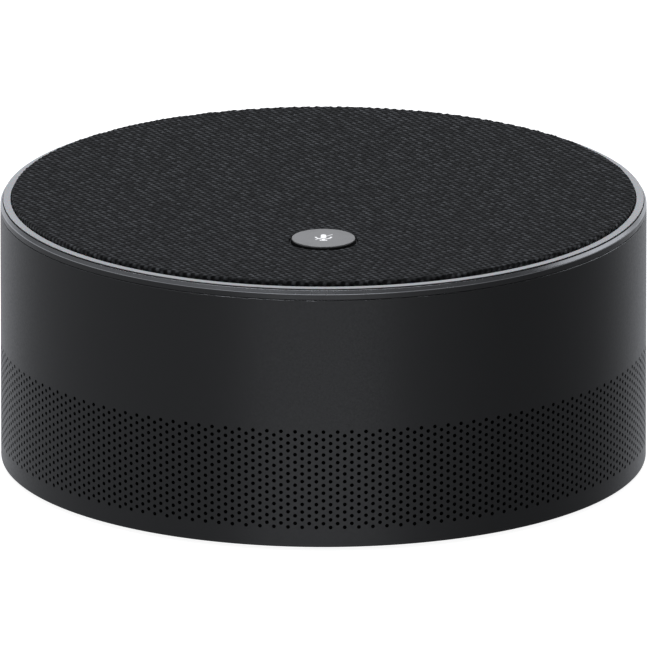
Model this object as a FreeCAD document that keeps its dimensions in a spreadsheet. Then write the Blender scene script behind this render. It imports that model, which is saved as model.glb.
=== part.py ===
import FreeCAD, Part
import math
import os

import Sketcher

# A tabletop conference speakerphone: a low round housing with a perforated wall, a cloth-covered
# top with a mute button near its front edge, and a lit ring around the cloth.
# +Z is up, the front is -Y, and the origin is the middle of the rubber foot's underside.

SIZES = {
    # Housing wall
    "wall_radius": 68.5,
    "wall_thickness": 2.2,
    "wall_bottom_chamfer": 0.3,
    "wall_top_chamfer": 0.15,
    "ledge_depth": 1.8,
    "lower_ledge_thickness": 0.8,
    "upper_ledge_thickness": 1.5,
    # Clearances
    "moulding_gap": 0.2,
    "seam_gap": 0.13,
    "assembly_gap": 0.05,
    "screw_gap": 0.15,
    # Base and foot
    "foot_stand": 0.8,
    "foot_groove_depth": 0.8,
    "foot_inset": 8.5,
    "foot_width": 10.0,
    "base_thickness": 2.5,
    "base_post_radius": 3.6,
    "base_counterbore_depth": 3.2,
    # Sound cavity behind the perforated wall
    "cavity_height": 23.7,
    "liner_thickness": 0.25,
    "liner_top_gap": 0.1,
    "reflector_radius": 30.0,
    "reflector_tip_radius": 4.0,
    "reflector_height": 14.2,
    "reflector_rim": 1.0,
    "reflector_wall": 1.8,
    "reflector_boss_radius": 3.2,
    "reflector_bore_depth": 9.0,
    # Loudspeaker enclosure
    "baffle_thickness": 2.2,
    "enclosure_ledge_gap": 2.5,
    "enclosure_wall": 2.0,
    "chamber_height": 14.6,
    "enclosure_boss_height": 4.8,
    "lid_thickness": 1.6,
    "lid_boss_inset": 4.4,
    "lid_boss_radius": 3.0,
    "seal_width": 0.8,
    "seal_height": 0.6,
    # Screws
    "screw_radius": 1.5,
    "screw_head_radius": 2.8,
    "screw_head_height": 2.0,
    "base_screw_length": 27.5,
    "small_screw_radius": 1.25,
    "small_screw_head_radius": 2.3,
    "small_screw_head_height": 1.4,
    "lid_screw_length": 9.0,
    "reflector_screw_length": 8.0,
    "tiny_screw_radius": 1.0,
    "tiny_screw_head_radius": 1.8,
    "tiny_screw_head_height": 1.0,
    "driver_screw_length": 5.5,
    "board_screw_length": 3.2,
    "top_screw_length": 8.5,
    "hex_recess_share": 0.5,
    # Loudspeaker driver
    "basket_radius": 27.9,
    "flange_width": 6.1,
    "flange_lip": 1.9,
    "basket_sheet": 1.0,
    "baffle_hole_gap": 0.3,
    "flange_thickness": 1.2,
    "gasket_thickness": 0.6,
    "basket_wall_height": 7.6,
    "basket_neck_radius": 19.0,
    "basket_neck_height": 3.8,
    "basket_window_radius": 2.4,
    "driver_screw_outset": 3.1,
    "driver_boss_radius": 2.4,
    "driver_boss_height": 2.6,
    "yoke_radius": 12.0,
    "yoke_bore_radius": 9.4,
    "yoke_height": 6.6,
    "yoke_back": 1.8,
    "pole_radius": 8.0,
    "pole_thickness": 1.8,
    "magnet_radius": 7.6,
    "magnet_thickness": 2.6,
    "coil_bore_radius": 8.35,
    "former_thickness": 0.15,
    "former_height": 8.0,
    "winding_thickness": 0.4,
    "winding_height": 3.0,
    "surround_roll_width": 4.4,
    "cone_lip_width": 1.0,
    "cone_thickness": 0.4,
    "cone_depth": 6.4,
    "dust_cap_radius": 9.4,
    "dust_cap_height": 2.2,
    "dust_cap_thickness": 0.3,
    "surround_rim": 2.0,
    "surround_thickness": 0.4,
    "surround_arc_extra": 0.45,
    "spider_seat": 3.0,
    "spider_thickness": 0.3,
    "spider_wave": 0.45,
    "terminal_length": 6.0,
    "terminal_width": 7.0,
    "terminal_height": 1.4,
    "lead_radius": 0.55,
    "lead_spacing": 2.8,
    "grommet_radius": 3.4,
    "grommet_height": 2.4,
    # Main board and what it carries
    "standoff_height": 2.0,
    "standoff_radius": 2.6,
    "standoff_circle": 44.0,
    "board_thickness": 1.6,
    "board_post_gap": 1.0,
    "tongue_width": 18.0,
    "tongue_setback": 2.3,
    "processor_side": 14.0,
    "processor_height": 1.2,
    "processor_behind": 8.0,
    "thermal_pad_height": 0.8,
    "shield_length": 22.0,
    "shield_width": 18.0,
    "shield_height": 2.2,
    "shield_sheet": 0.25,
    "shield_beside": 26.0,
    "shield_behind": 14.0,
    "amplifier_side": 7.0,
    "amplifier_height": 0.9,
    "amplifier_beside": 22.0,
    "amplifier_ahead": 18.0,
    "capacitor_radius": 2.0,
    "capacitor_height": 2.8,
    "capacitor_beside": 8.0,
    "capacitor_ahead": 30.0,
    "capacitor_spacing": 6.0,
    "connector_length": 5.0,
    "connector_width": 12.0,
    "connector_height": 1.2,
    "connector_beside": 30.0,
    "ribbon_width": 10.0,
    "ribbon_thickness": 0.2,
    "ribbon_fold": 4.5,
    # USB-C socket and its opening at the back
    "usb_width": 8.94,
    "usb_height": 3.26,
    "usb_length": 7.4,
    "usb_shell": 0.3,
    "usb_back": 1.1,
    "usb_setback": 0.5,
    "usb_tongue_width": 6.2,
    "usb_tongue_thickness": 0.7,
    "usb_tongue_setback": 0.8,
    "usb_opening_gap": 0.32,
    "usb_recess_margin": 1.6,
    "usb_recess_depth": 0.7,
    # Upper board
    "usb_headroom": 0.34,
    "upper_post_radius": 3.0,
    "upper_post_inset": 5.0,
    "mic_board_edge_gap": 0.4,
    "mic_board_bore": 14.0,
    "mic_board_thickness": 1.2,
    "mic_circle": 42.0,
    "mic_length": 3.5,
    "mic_width": 2.7,
    "mic_height": 1.0,
    "mic_gasket_radius": 1.9,
    "mic_port_radius": 0.6,
    "led_from_ring_foot": 0.8,
    "led_length": 1.6,
    "led_width": 0.8,
    "led_height": 0.6,
    "led_window_radius": 1.2,
    # Top bezel, light ring, panel and cloth
    "bezel_skirt": 1.3,
    "bezel_chamfer_width": 0.46,
    "bezel_chamfer_height": 0.69,
    "bezel_lip": 0.1,
    "bezel_floor": 0.9,
    "bezel_floor_margin": 0.5,
    "bezel_boss_height": 1.26,
    "bezel_tenon": 1.1,
    "bezel_tenon_depth": 2.0,
    "ring_stand": 0.35,
    "ring_side_gap": 0.04,
    "ring_band": 1.55,
    "ring_foot": 0.54,
    "ring_foot_width": 4.55,
    "adhesive_thickness": 0.15,
    "adhesive_width": 2.6,
    "panel_thickness": 0.8,
    "cloth_wrap": 0.85,
    "cloth_stand": 1.15,
    "cloth_side_gap": 0.2,
    "cloth_edge_radius": 0.7,
    # Mute button
    "button_offset": 35.2,
    "button_radius": 6.665,
    "button_stand": 1.5,
    "button_edge": 0.12,
    "button_gap": 0.2,
    "button_flange": 0.9,
    "button_flange_thickness": 0.75,
    "button_stop_gap": 0.15,
    "button_stem_radius": 1.5,
    "button_stem": 0.35,
    "button_travel": 0.35,
    "collar_width": 0.4,
    "collar_height": 0.45,
    "collar_cloth_gap": 0.1,
    "pad_inset": 0.165,
    "pad_width": 1.8,
    "switch_side": 5.2,
    "switch_height": 1.2,
    "switch_well": 0.75,
    "plunger_radius": 1.05,
    "plunger_height": 0.7,
    "plunger_gap": 0.1,
}

BASE_SCREWS = 6
LID_SCREWS = 8
DRIVER_SCREWS = 4
BOARD_SCREWS = 4
UPPER_POSTS = 6
MICROPHONES = 6
LIGHTS = 24
CAPACITORS = 3
BASKET_WINDOWS = 8
SPIDER_WAVES = 4

LID_SCREW_START = 22.5
DRIVER_SCREW_START = 45.0
BOARD_SCREW_START = 45.0
MICROPHONE_START = 0.0
FACING_UP = 1
FACING_DOWN = -1

document = FreeCAD.newDocument("conference_speakerphone")
sheet = document.addObject("Spreadsheet::Sheet", "Sizes")
for row, (alias, number) in enumerate(SIZES.items(), start=1):
    sheet.set(f"A{row}", alias)
    sheet.set(f"B{row}", str(number))
    sheet.setAlias(f"B{row}", alias)
document.recompute()


class Size:
    """A length in millimetres, kept with the spreadsheet expression that gives it."""

    def __init__(self, number, text):
        self.number = float(number)
        self.text = text

    @staticmethod
    def of(item):
        if isinstance(item, Size):
            return item
        return Size(item, f"({float(item)!r})")

    def __add__(self, other):
        other = Size.of(other)
        return Size(self.number + other.number, f"({self.text} + {other.text})")

    def __sub__(self, other):
        other = Size.of(other)
        return Size(self.number - other.number, f"({self.text} - {other.text})")

    def __mul__(self, other):
        other = Size.of(other)
        return Size(self.number * other.number, f"({self.text} * {other.text})")

    def __truediv__(self, other):
        other = Size.of(other)
        return Size(self.number / other.number, f"({self.text} / {other.text})")

    def __neg__(self):
        return Size.of(0) - self


class SheetSizes:
    """Every cell of the sheet as a Size, read by its alias."""

    def __getattr__(self, alias):
        return Size(SIZES[alias], f"Sizes.{alias}")


d = SheetSizes()
ZERO = Size.of(0)


def bind(item, name, size):
    item.setExpression(name, Size.of(size).text)


def on_circle(radius, angle):
    """The place at an angle, in degrees from +X, on a circle about the origin."""
    turn = math.radians(angle)
    return radius * round(math.cos(turn), 9), radius * round(math.sin(turn), 9)


def angles(count, start=0.0):
    return [start + 360.0 * step / count for step in range(count)]


def new_body(label):
    body = document.addObject("PartDesign::Body", label)
    body.Label = label
    return body


def origin_feature(body, role):
    return next(item for item in body.Origin.OriginFeatures if item.Role == role)


def new_sketch(body, name, plane="XY_Plane", offset=ZERO):
    sketch = body.newObject("Sketcher::SketchObject", name)
    sketch.AttachmentSupport = (origin_feature(body, plane), [""])
    sketch.MapMode = "FlatFace"
    bind(sketch, "AttachmentOffset.Base.z", offset)
    return sketch


def constrain(sketch, kind, places, size):
    index = sketch.addConstraint(Sketcher.Constraint(kind, *places, size.number))
    bind(sketch, f"Constraints[{index}]", size)


def fix_point(sketch, geometry, point, across, along):
    """Holds one point of the sketch at its two sizes from the sketch's origin."""
    if across.number == 0:
        sketch.addConstraint(Sketcher.Constraint("PointOnObject", geometry, point, -2))
    else:
        constrain(sketch, "DistanceX", (-1, 1, geometry, point), across)
    if along.number == 0:
        sketch.addConstraint(Sketcher.Constraint("PointOnObject", geometry, point, -1))
    else:
        constrain(sketch, "DistanceY", (-1, 1, geometry, point), along)


def add_circle(sketch, radius, across=ZERO, along=ZERO):
    centre = FreeCAD.Vector(across.number, along.number, 0)
    circle = Part.Circle(centre, FreeCAD.Vector(0, 0, 1), radius.number)
    index = sketch.addGeometry(circle, False)
    constrain(sketch, "Radius", (index,), radius)
    fix_point(sketch, index, 3, across, along)


def arc_between(start, end, radius):
    """The shorter arc from start to end, turning left for a positive radius."""
    chord = end - start
    side = 1 if radius > 0 else -1
    depth = math.sqrt(radius * radius - chord.Length * chord.Length / 4)
    left = FreeCAD.Vector(-chord.y, chord.x, 0) * (side * depth / chord.Length)
    centre = (start + end) * 0.5 + left
    first, last = (start, end) if side > 0 else (end, start)
    first_angle = math.atan2(first.y - centre.y, first.x - centre.x)
    last_angle = math.atan2(last.y - centre.y, last.x - centre.x)
    circle = Part.Circle(centre, FreeCAD.Vector(0, 0, 1), abs(radius))
    return Part.ArcOfCircle(circle, first_angle, last_angle)


def add_outline(sketch, outline):
    """Draws a closed outline of (across, along) points.

    A third value is the radius of the arc that leads from that point to the next one, and it is
    negative where the arc turns right.
    """
    corners = [(Size.of(point[0]), Size.of(point[1])) for point in outline]
    arcs = [point[2] if len(point) > 2 else None for point in outline]
    vectors = [FreeCAD.Vector(across.number, along.number, 0) for across, along in corners]
    edges = []
    for step, radius in enumerate(arcs):
        start = vectors[step]
        end = vectors[(step + 1) % len(vectors)]
        if radius is None:
            index = sketch.addGeometry(Part.LineSegment(start, end), False)
            edges.append((index, 1, 2))
            continue
        index = sketch.addGeometry(arc_between(start, end, radius.number), False)
        turns_left = radius.number > 0
        edges.append((index, 1, 2) if turns_left else (index, 2, 1))
        constrain(sketch, "Radius", (index,), radius if turns_left else -radius)
    for step, (index, start_point, end_point) in enumerate(edges):
        following, following_point, _ = edges[(step + 1) % len(edges)]
        sketch.addConstraint(
            Sketcher.Constraint("Coincident", index, end_point, following, following_point)
        )
        fix_point(sketch, index, start_point, *corners[step])


def add_slot(sketch, width, height, level):
    """Draws a racetrack centred on the sketch's vertical axis at a level."""
    half_run = (width - height) / 2
    radius = height / 2
    arcs = []
    for side in (1, -1):
        centre = FreeCAD.Vector(side * half_run.number, level.number, 0)
        circle = Part.Circle(centre, FreeCAD.Vector(0, 0, 1), radius.number)
        first = -side * math.pi / 2
        arc = Part.ArcOfCircle(circle, first, first + math.pi)
        index = sketch.addGeometry(arc, False)
        fix_point(sketch, index, 3, half_run * side, level)
        arcs.append(index)
    right, left = arcs
    constrain(sketch, "Radius", (right,), radius)
    sketch.addConstraint(Sketcher.Constraint("Equal", right, left))
    for sign, right_end, left_end in ((-1, 1, 2), (1, 2, 1)):
        edge_level = level.number + sign * radius.number
        right_corner = FreeCAD.Vector(half_run.number, edge_level, 0)
        left_corner = FreeCAD.Vector(-half_run.number, edge_level, 0)
        line = sketch.addGeometry(Part.LineSegment(left_corner, right_corner), False)
        sketch.addConstraint(Sketcher.Constraint("Tangent", line, 1, left, left_end))
        sketch.addConstraint(Sketcher.Constraint("Tangent", line, 2, right, right_end))


def revolve(body, name, outline):
    sketch = new_sketch(body, f"{name}_outline", "XZ_Plane")
    add_outline(sketch, outline)
    feature = body.newObject("PartDesign::Revolution", name)
    feature.Profile = sketch
    feature.ReferenceAxis = (sketch, ["V_Axis"])
    feature.Angle = 360.0
    body.Tip = feature
    return body


def turned(label, outline):
    """A piece turned about the Z axis from (radius, height) points."""
    return revolve(new_body(label), f"{label}_turned", outline)


def ring(label, bore, radius, bottom, height):
    """A flat ring, or a disc where the bore is None."""
    body = new_body(label)
    sketch = new_sketch(body, f"{label}_rings", offset=bottom)
    add_circle(sketch, radius)
    if bore is not None:
        add_circle(sketch, bore)
    pad = body.newObject("PartDesign::Pad", f"{label}_height")
    pad.Profile = sketch
    bind(pad, "Length", height)
    body.Tip = pad
    return body


def extruded(label, plane, outline, depth):
    """A piece with one outline, extruded equally to both sides of an origin plane."""
    body = new_body(label)
    sketch = new_sketch(body, f"{label}_outline", plane)
    add_outline(sketch, outline)
    pad = body.newObject("PartDesign::Pad", f"{label}_depth")
    pad.Profile = sketch
    pad.Midplane = True
    bind(pad, "Length", depth)
    body.Tip = pad
    return body


def repeat_round(body, feature, count):
    """Repeats a feature evenly about the Z axis."""
    pattern = body.newObject("PartDesign::PolarPattern", f"{feature.Name}_round")
    pattern.Originals = [feature]
    pattern.Axis = (origin_feature(body, "Z_Axis"), [""])
    pattern.Angle = 360.0
    pattern.Occurrences = count
    body.Tip = pattern


def add_posts(body, name, radius, circle, start, bottom, height, count):
    sketch = new_sketch(body, f"{name}_sketch", offset=bottom)
    add_circle(sketch, radius, *on_circle(circle, start))
    pad = body.newObject("PartDesign::Pad", name)
    pad.Profile = sketch
    bind(pad, "Length", height)
    body.Tip = pad
    repeat_round(body, pad, count)


def cut_hole(body, name, radius, across, along, top, depth):
    """A round hole that starts at the level top and goes down by depth."""
    sketch = new_sketch(body, f"{name}_sketch", offset=top)
    add_circle(sketch, radius, across, along)
    pocket = body.newObject("PartDesign::Pocket", name)
    pocket.Profile = sketch
    bind(pocket, "Length", depth)
    body.Tip = pocket
    return pocket


def cut_holes(body, name, radius, circle, start, top, depth, count):
    pocket = cut_hole(body, name, radius, *on_circle(circle, start), top, depth)
    repeat_round(body, pocket, count)


def cut_slot(body, name, width, height, level, inner_radius, depth):
    """A racetrack opening through the back wall, from a distance behind the axis outwards."""
    sketch = new_sketch(body, f"{name}_sketch", "XZ_Plane", -inner_radius)
    add_slot(sketch, width, height, level)
    pocket = body.newObject("PartDesign::Pocket", name)
    pocket.Profile = sketch
    bind(pocket, "Length", depth)
    body.Tip = pocket


def place(item, across, along, up):
    bind(item, "Placement.Base.x", across)
    bind(item, "Placement.Base.y", along)
    bind(item, "Placement.Base.z", up)


def cylinder(name, radius, across, along, bottom, height):
    item = document.addObject("Part::Cylinder", name)
    bind(item, "Radius", radius)
    bind(item, "Height", height)
    place(item, across, along, bottom)
    return item


def block(name, across, along, bottom, length, width, height):
    """A box centred on a place, with its length along X and its width along Y."""
    item = document.addObject("Part::Box", name)
    bind(item, "Length", length)
    bind(item, "Width", width)
    bind(item, "Height", height)
    place(item, across - length / 2, along - width / 2, bottom)
    return item


def joined(kind, name, base, tool):
    """A Part::Cut or Part::Fuse of two objects."""
    item = document.addObject(kind, name)
    item.Base = base
    item.Tool = tool
    item.Label = name
    return item


def group(label, members):
    """One node that holds several separate solids."""
    item = document.addObject("Part::Compound", label)
    item.Label = label
    item.Links = members
    return item


def screw(name, across, along, seat, facing, kind, length):
    """A screw with a hexagon socket, whose head rests on the level seat.

    The head stands above the seat when it faces up and below it when it faces down.
    """
    radius = getattr(d, f"{kind}_radius")
    head_radius = getattr(d, f"{kind}_head_radius")
    head_height = getattr(d, f"{kind}_head_height")
    recess_depth = head_height * d.hex_recess_share
    recess = document.addObject("Part::Prism", f"{name}_recess")
    recess.Polygon = 6
    bind(recess, "Circumradius", radius)
    bind(recess, "Height", recess_depth)
    if facing == FACING_UP:
        head_bottom, shank_bottom = seat, seat - length
        recess_bottom = seat + head_height - recess_depth
    else:
        head_bottom, shank_bottom = seat - head_height, seat
        recess_bottom = head_bottom
    place(recess, across, along, recess_bottom)
    head = cylinder(f"{name}_head", head_radius, across, along, head_bottom, head_height)
    shank = cylinder(f"{name}_shank", radius, across, along, shank_bottom, length)
    solid = joined("Part::Fuse", f"{name}_solid", head, shank)
    return joined("Part::Cut", name, solid, recess)


def screws(label, circle, start, count, seat, facing, kind, length):
    members = []
    for number, angle in enumerate(angles(count, start), start=1):
        across, along = on_circle(circle, angle)
        members.append(screw(f"{label}_{number}", across, along, seat, facing, kind, length))
    return group(label, members)


# Levels, from the surface that it stands on upwards
base_bottom = d.foot_stand
base_top = base_bottom + d.base_thickness
foot_top = base_bottom + d.foot_groove_depth
baffle_bottom = base_top + d.cavity_height
baffle_top = baffle_bottom + d.baffle_thickness
chamber_top = baffle_top + d.chamber_height
lid_top = chamber_top + d.lid_thickness
board_bottom = lid_top + d.standoff_height
board_top = board_bottom + d.board_thickness
mic_board_bottom = board_top + d.usb_height + d.usb_headroom
mic_board_top = mic_board_bottom + d.mic_board_thickness
bezel_bottom = mic_board_top + d.bezel_boss_height
housing_top = bezel_bottom - d.seam_gap
bezel_floor_top = bezel_bottom + d.bezel_floor
bezel_shoulder = bezel_bottom + d.bezel_skirt
bezel_top = bezel_shoulder + d.bezel_chamfer_height
ring_top = bezel_top + d.ring_stand
ring_foot_top = bezel_floor_top + d.ring_foot
panel_bottom = ring_foot_top + d.adhesive_thickness
panel_top = panel_bottom + d.panel_thickness
cloth_top = ring_top + d.cloth_stand
button_top = ring_top + d.button_stand
flange_top = baffle_bottom - d.gasket_thickness
flange_bottom = flange_top - d.flange_thickness
shelf_bottom = flange_top + d.basket_wall_height - d.basket_sheet
neck_top = shelf_bottom + d.basket_sheet + d.basket_neck_height
yoke_bottom = neck_top - d.basket_sheet
yoke_top = yoke_bottom + d.yoke_height
magnet_top = yoke_top - d.yoke_back
magnet_bottom = magnet_top - d.magnet_thickness

# Radii that follow from the wall
wall_bore = d.wall_radius - d.wall_thickness
ledge_bore = wall_bore - d.ledge_depth
inner_fit = wall_bore - d.moulding_gap
foot_outer_radius = d.wall_radius - d.foot_inset
foot_inner_radius = foot_outer_radius - d.foot_width
base_post_circle = foot_outer_radius - d.foot_width / 2
enclosure_radius = ledge_bore - d.enclosure_ledge_gap
lid_boss_circle = enclosure_radius - d.lid_boss_inset
upper_post_circle = enclosure_radius - d.upper_post_inset
main_board_radius = upper_post_circle - d.upper_post_radius - d.board_post_gap
tenon_bore = inner_fit - d.bezel_tenon
mic_board_radius = tenon_bore - d.mic_board_edge_gap
ring_radius = d.wall_radius - d.bezel_chamfer_width - d.bezel_lip - d.ring_side_gap
ring_bore = ring_radius - d.ring_band
ring_foot_radius = ring_bore - d.ring_foot_width
led_circle = ring_foot_radius + d.led_from_ring_foot
cloth_radius = ring_bore - d.cloth_side_gap
panel_radius = cloth_radius - d.cloth_wrap

# Radii that follow from the driver's basket and from the button
baffle_bore = d.basket_radius + d.baffle_hole_gap
driver_radius = d.basket_radius + d.flange_width
driver_lip_radius = d.basket_radius - d.flange_lip
driver_screw_circle = d.basket_radius + d.driver_screw_outset
cone_lip_radius = driver_lip_radius - d.surround_roll_width
collar_bore = d.button_radius + d.button_gap
collar_radius = collar_bore + d.collar_width


def make_foot_and_base():
    ring("foot_ring", foot_inner_radius, foot_outer_radius, ZERO, foot_top)

    base = turned("base_plate", [
        (ZERO, base_bottom),
        (foot_inner_radius - d.moulding_gap, base_bottom),
        (foot_inner_radius - d.moulding_gap, foot_top),
        (foot_outer_radius + d.moulding_gap, foot_top),
        (foot_outer_radius + d.moulding_gap, base_bottom),
        (inner_fit, base_bottom),
        (inner_fit, base_top),
        (ZERO, base_top),
    ])
    post_height = baffle_bottom - base_top
    add_posts(base, "base_posts", d.base_post_radius, base_post_circle, 0.0,
              base_top, post_height, BASE_SCREWS)
    seat = foot_top + d.base_counterbore_depth
    cut_holes(base, "base_screw_holes", d.screw_radius + d.screw_gap, base_post_circle, 0.0,
              baffle_bottom, baffle_bottom - foot_top, BASE_SCREWS)
    cut_holes(base, "base_counterbores", d.screw_head_radius + d.screw_gap, base_post_circle,
              0.0, seat, d.base_counterbore_depth, BASE_SCREWS)
    reflector_seat = base_bottom + d.small_screw_head_height + d.assembly_gap
    cut_hole(base, "reflector_screw_hole", d.small_screw_radius + d.screw_gap, ZERO, ZERO,
             base_top, d.base_thickness)
    cut_hole(base, "reflector_counterbore", d.small_screw_head_radius + d.screw_gap, ZERO, ZERO,
             reflector_seat, reflector_seat - base_bottom)

    screws("base_screws", base_post_circle, 0.0, BASE_SCREWS, seat, FACING_DOWN,
           "screw", d.base_screw_length)
    group("reflector_screw", [
        screw("reflector_screw_1", ZERO, ZERO, reflector_seat, FACING_DOWN, "small_screw",
              d.reflector_screw_length),
    ])


def make_reflector():
    rim_top = base_top + d.reflector_rim
    tip = base_top + d.reflector_height
    reflector = turned("sound_reflector", [
        (ZERO, base_top),
        (d.reflector_boss_radius, base_top),
        (d.reflector_boss_radius, tip - d.reflector_wall),
        (d.reflector_tip_radius, tip - d.reflector_wall),
        (d.reflector_radius - d.reflector_wall, base_top),
        (d.reflector_radius, base_top),
        (d.reflector_radius, rim_top),
        (d.reflector_tip_radius, tip),
        (ZERO, tip),
    ])
    cut_hole(reflector, "reflector_bore", d.small_screw_radius, ZERO, ZERO,
             base_top + d.reflector_bore_depth, d.reflector_bore_depth)


def make_housing():
    lower_ledge_bottom = base_top + d.assembly_gap
    lower_ledge_top = lower_ledge_bottom + d.lower_ledge_thickness
    upper_ledge_bottom = baffle_top + d.assembly_gap
    upper_ledge_top = upper_ledge_bottom + d.upper_ledge_thickness
    housing = turned("outer_housing", [
        (d.wall_radius - d.wall_bottom_chamfer, base_bottom),
        (d.wall_radius, base_bottom + d.wall_bottom_chamfer),
        (d.wall_radius, housing_top - d.wall_top_chamfer),
        (d.wall_radius - d.wall_top_chamfer, housing_top),
        (wall_bore, housing_top),
        (wall_bore, upper_ledge_top),
        (ledge_bore, upper_ledge_top),
        (ledge_bore, upper_ledge_bottom),
        (wall_bore, upper_ledge_bottom),
        (wall_bore, lower_ledge_top),
        (ledge_bore, lower_ledge_top),
        (ledge_bore, lower_ledge_bottom),
        (wall_bore, lower_ledge_bottom),
        (wall_bore, base_bottom),
    ])
    opening_width = d.usb_width + d.usb_opening_gap * 2
    opening_height = d.usb_height + d.usb_opening_gap * 2
    level = board_top + d.usb_height / 2
    cut_slot(housing, "usb_opening", opening_width, opening_height, level, ZERO,
             d.wall_radius + d.wall_thickness)
    cut_slot(housing, "usb_recess", opening_width + d.usb_recess_margin * 2,
             opening_height + d.usb_recess_margin * 2, level,
             d.wall_radius - d.usb_recess_depth, d.wall_thickness)

    ring("wall_cloth_liner", wall_bore - d.liner_thickness, wall_bore, lower_ledge_top,
         baffle_bottom - d.liner_top_gap - lower_ledge_top)


def make_enclosure():
    enclosure_bore = enclosure_radius - d.enclosure_wall
    enclosure = turned("speaker_enclosure", [
        (baffle_bore, baffle_bottom),
        (inner_fit, baffle_bottom),
        (inner_fit, baffle_top),
        (enclosure_radius, baffle_top),
        (enclosure_radius, chamber_top),
        (enclosure_bore, chamber_top),
        (enclosure_bore, baffle_top),
        (baffle_bore, baffle_top),
    ])
    add_posts(enclosure, "base_screw_bosses", d.base_post_radius, base_post_circle, 0.0,
              baffle_top, d.enclosure_boss_height, BASE_SCREWS)
    add_posts(enclosure, "lid_bosses", d.lid_boss_radius, lid_boss_circle, LID_SCREW_START,
              baffle_top, d.chamber_height, LID_SCREWS)
    add_posts(enclosure, "driver_bosses", d.driver_boss_radius, driver_screw_circle,
              DRIVER_SCREW_START, baffle_top, d.driver_boss_height, DRIVER_SCREWS)
    base_screw_tip = foot_top + d.base_counterbore_depth + d.base_screw_length
    cut_holes(enclosure, "base_screw_threads", d.screw_radius, base_post_circle, 0.0,
              base_screw_tip, base_screw_tip - baffle_bottom, BASE_SCREWS)
    cut_holes(enclosure, "lid_screw_threads", d.small_screw_radius, lid_boss_circle,
              LID_SCREW_START, chamber_top, d.lid_screw_length, LID_SCREWS)
    driver_screw_tip = flange_bottom + d.driver_screw_length
    cut_holes(enclosure, "driver_screw_threads", d.tiny_screw_radius, driver_screw_circle,
              DRIVER_SCREW_START, driver_screw_tip, driver_screw_tip - baffle_bottom,
              DRIVER_SCREWS)

    seal_middle = enclosure_bore + d.enclosure_wall / 2
    seal_bore = seal_middle - d.seal_width / 2
    seal_radius = seal_middle + d.seal_width / 2
    seal_top = chamber_top + d.seal_height
    ring("enclosure_seal", seal_bore, seal_radius, chamber_top, d.seal_height)
    lid = turned("enclosure_lid", [
        (ZERO, chamber_top),
        (seal_bore, chamber_top),
        (seal_bore, seal_top),
        (seal_radius, seal_top),
        (seal_radius, chamber_top),
        (enclosure_radius, chamber_top),
        (enclosure_radius, lid_top),
        (ZERO, lid_top),
    ])
    add_posts(lid, "upper_posts", d.upper_post_radius, upper_post_circle, 0.0,
              lid_top, mic_board_bottom - lid_top, UPPER_POSTS)
    add_posts(lid, "board_standoffs", d.standoff_radius, d.standoff_circle, BOARD_SCREW_START,
              lid_top, d.standoff_height, BOARD_SCREWS)
    cut_holes(lid, "lid_screw_holes", d.small_screw_radius + d.screw_gap, lid_boss_circle,
              LID_SCREW_START, lid_top, d.lid_thickness, LID_SCREWS)
    top_screw_tip = bezel_floor_top - d.top_screw_length
    cut_holes(lid, "top_screw_threads", d.small_screw_radius, upper_post_circle, 0.0,
              mic_board_bottom, mic_board_bottom - top_screw_tip, UPPER_POSTS)
    cut_holes(lid, "board_screw_threads", d.tiny_screw_radius, d.standoff_circle,
              BOARD_SCREW_START, board_bottom, d.board_screw_length - d.board_thickness,
              BOARD_SCREWS)
    cut_hole(lid, "grommet_hole", d.grommet_radius, lead_place(), ZERO, lid_top, d.lid_thickness)
    screws("lid_screws", lid_boss_circle, LID_SCREW_START, LID_SCREWS, lid_top, FACING_UP,
           "small_screw", d.lid_screw_length)


def lead_place():
    """How far the loudspeaker lead stands from the axis, above the middle of the terminals."""
    return d.basket_neck_radius + d.assembly_gap + d.terminal_length / 2


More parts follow.
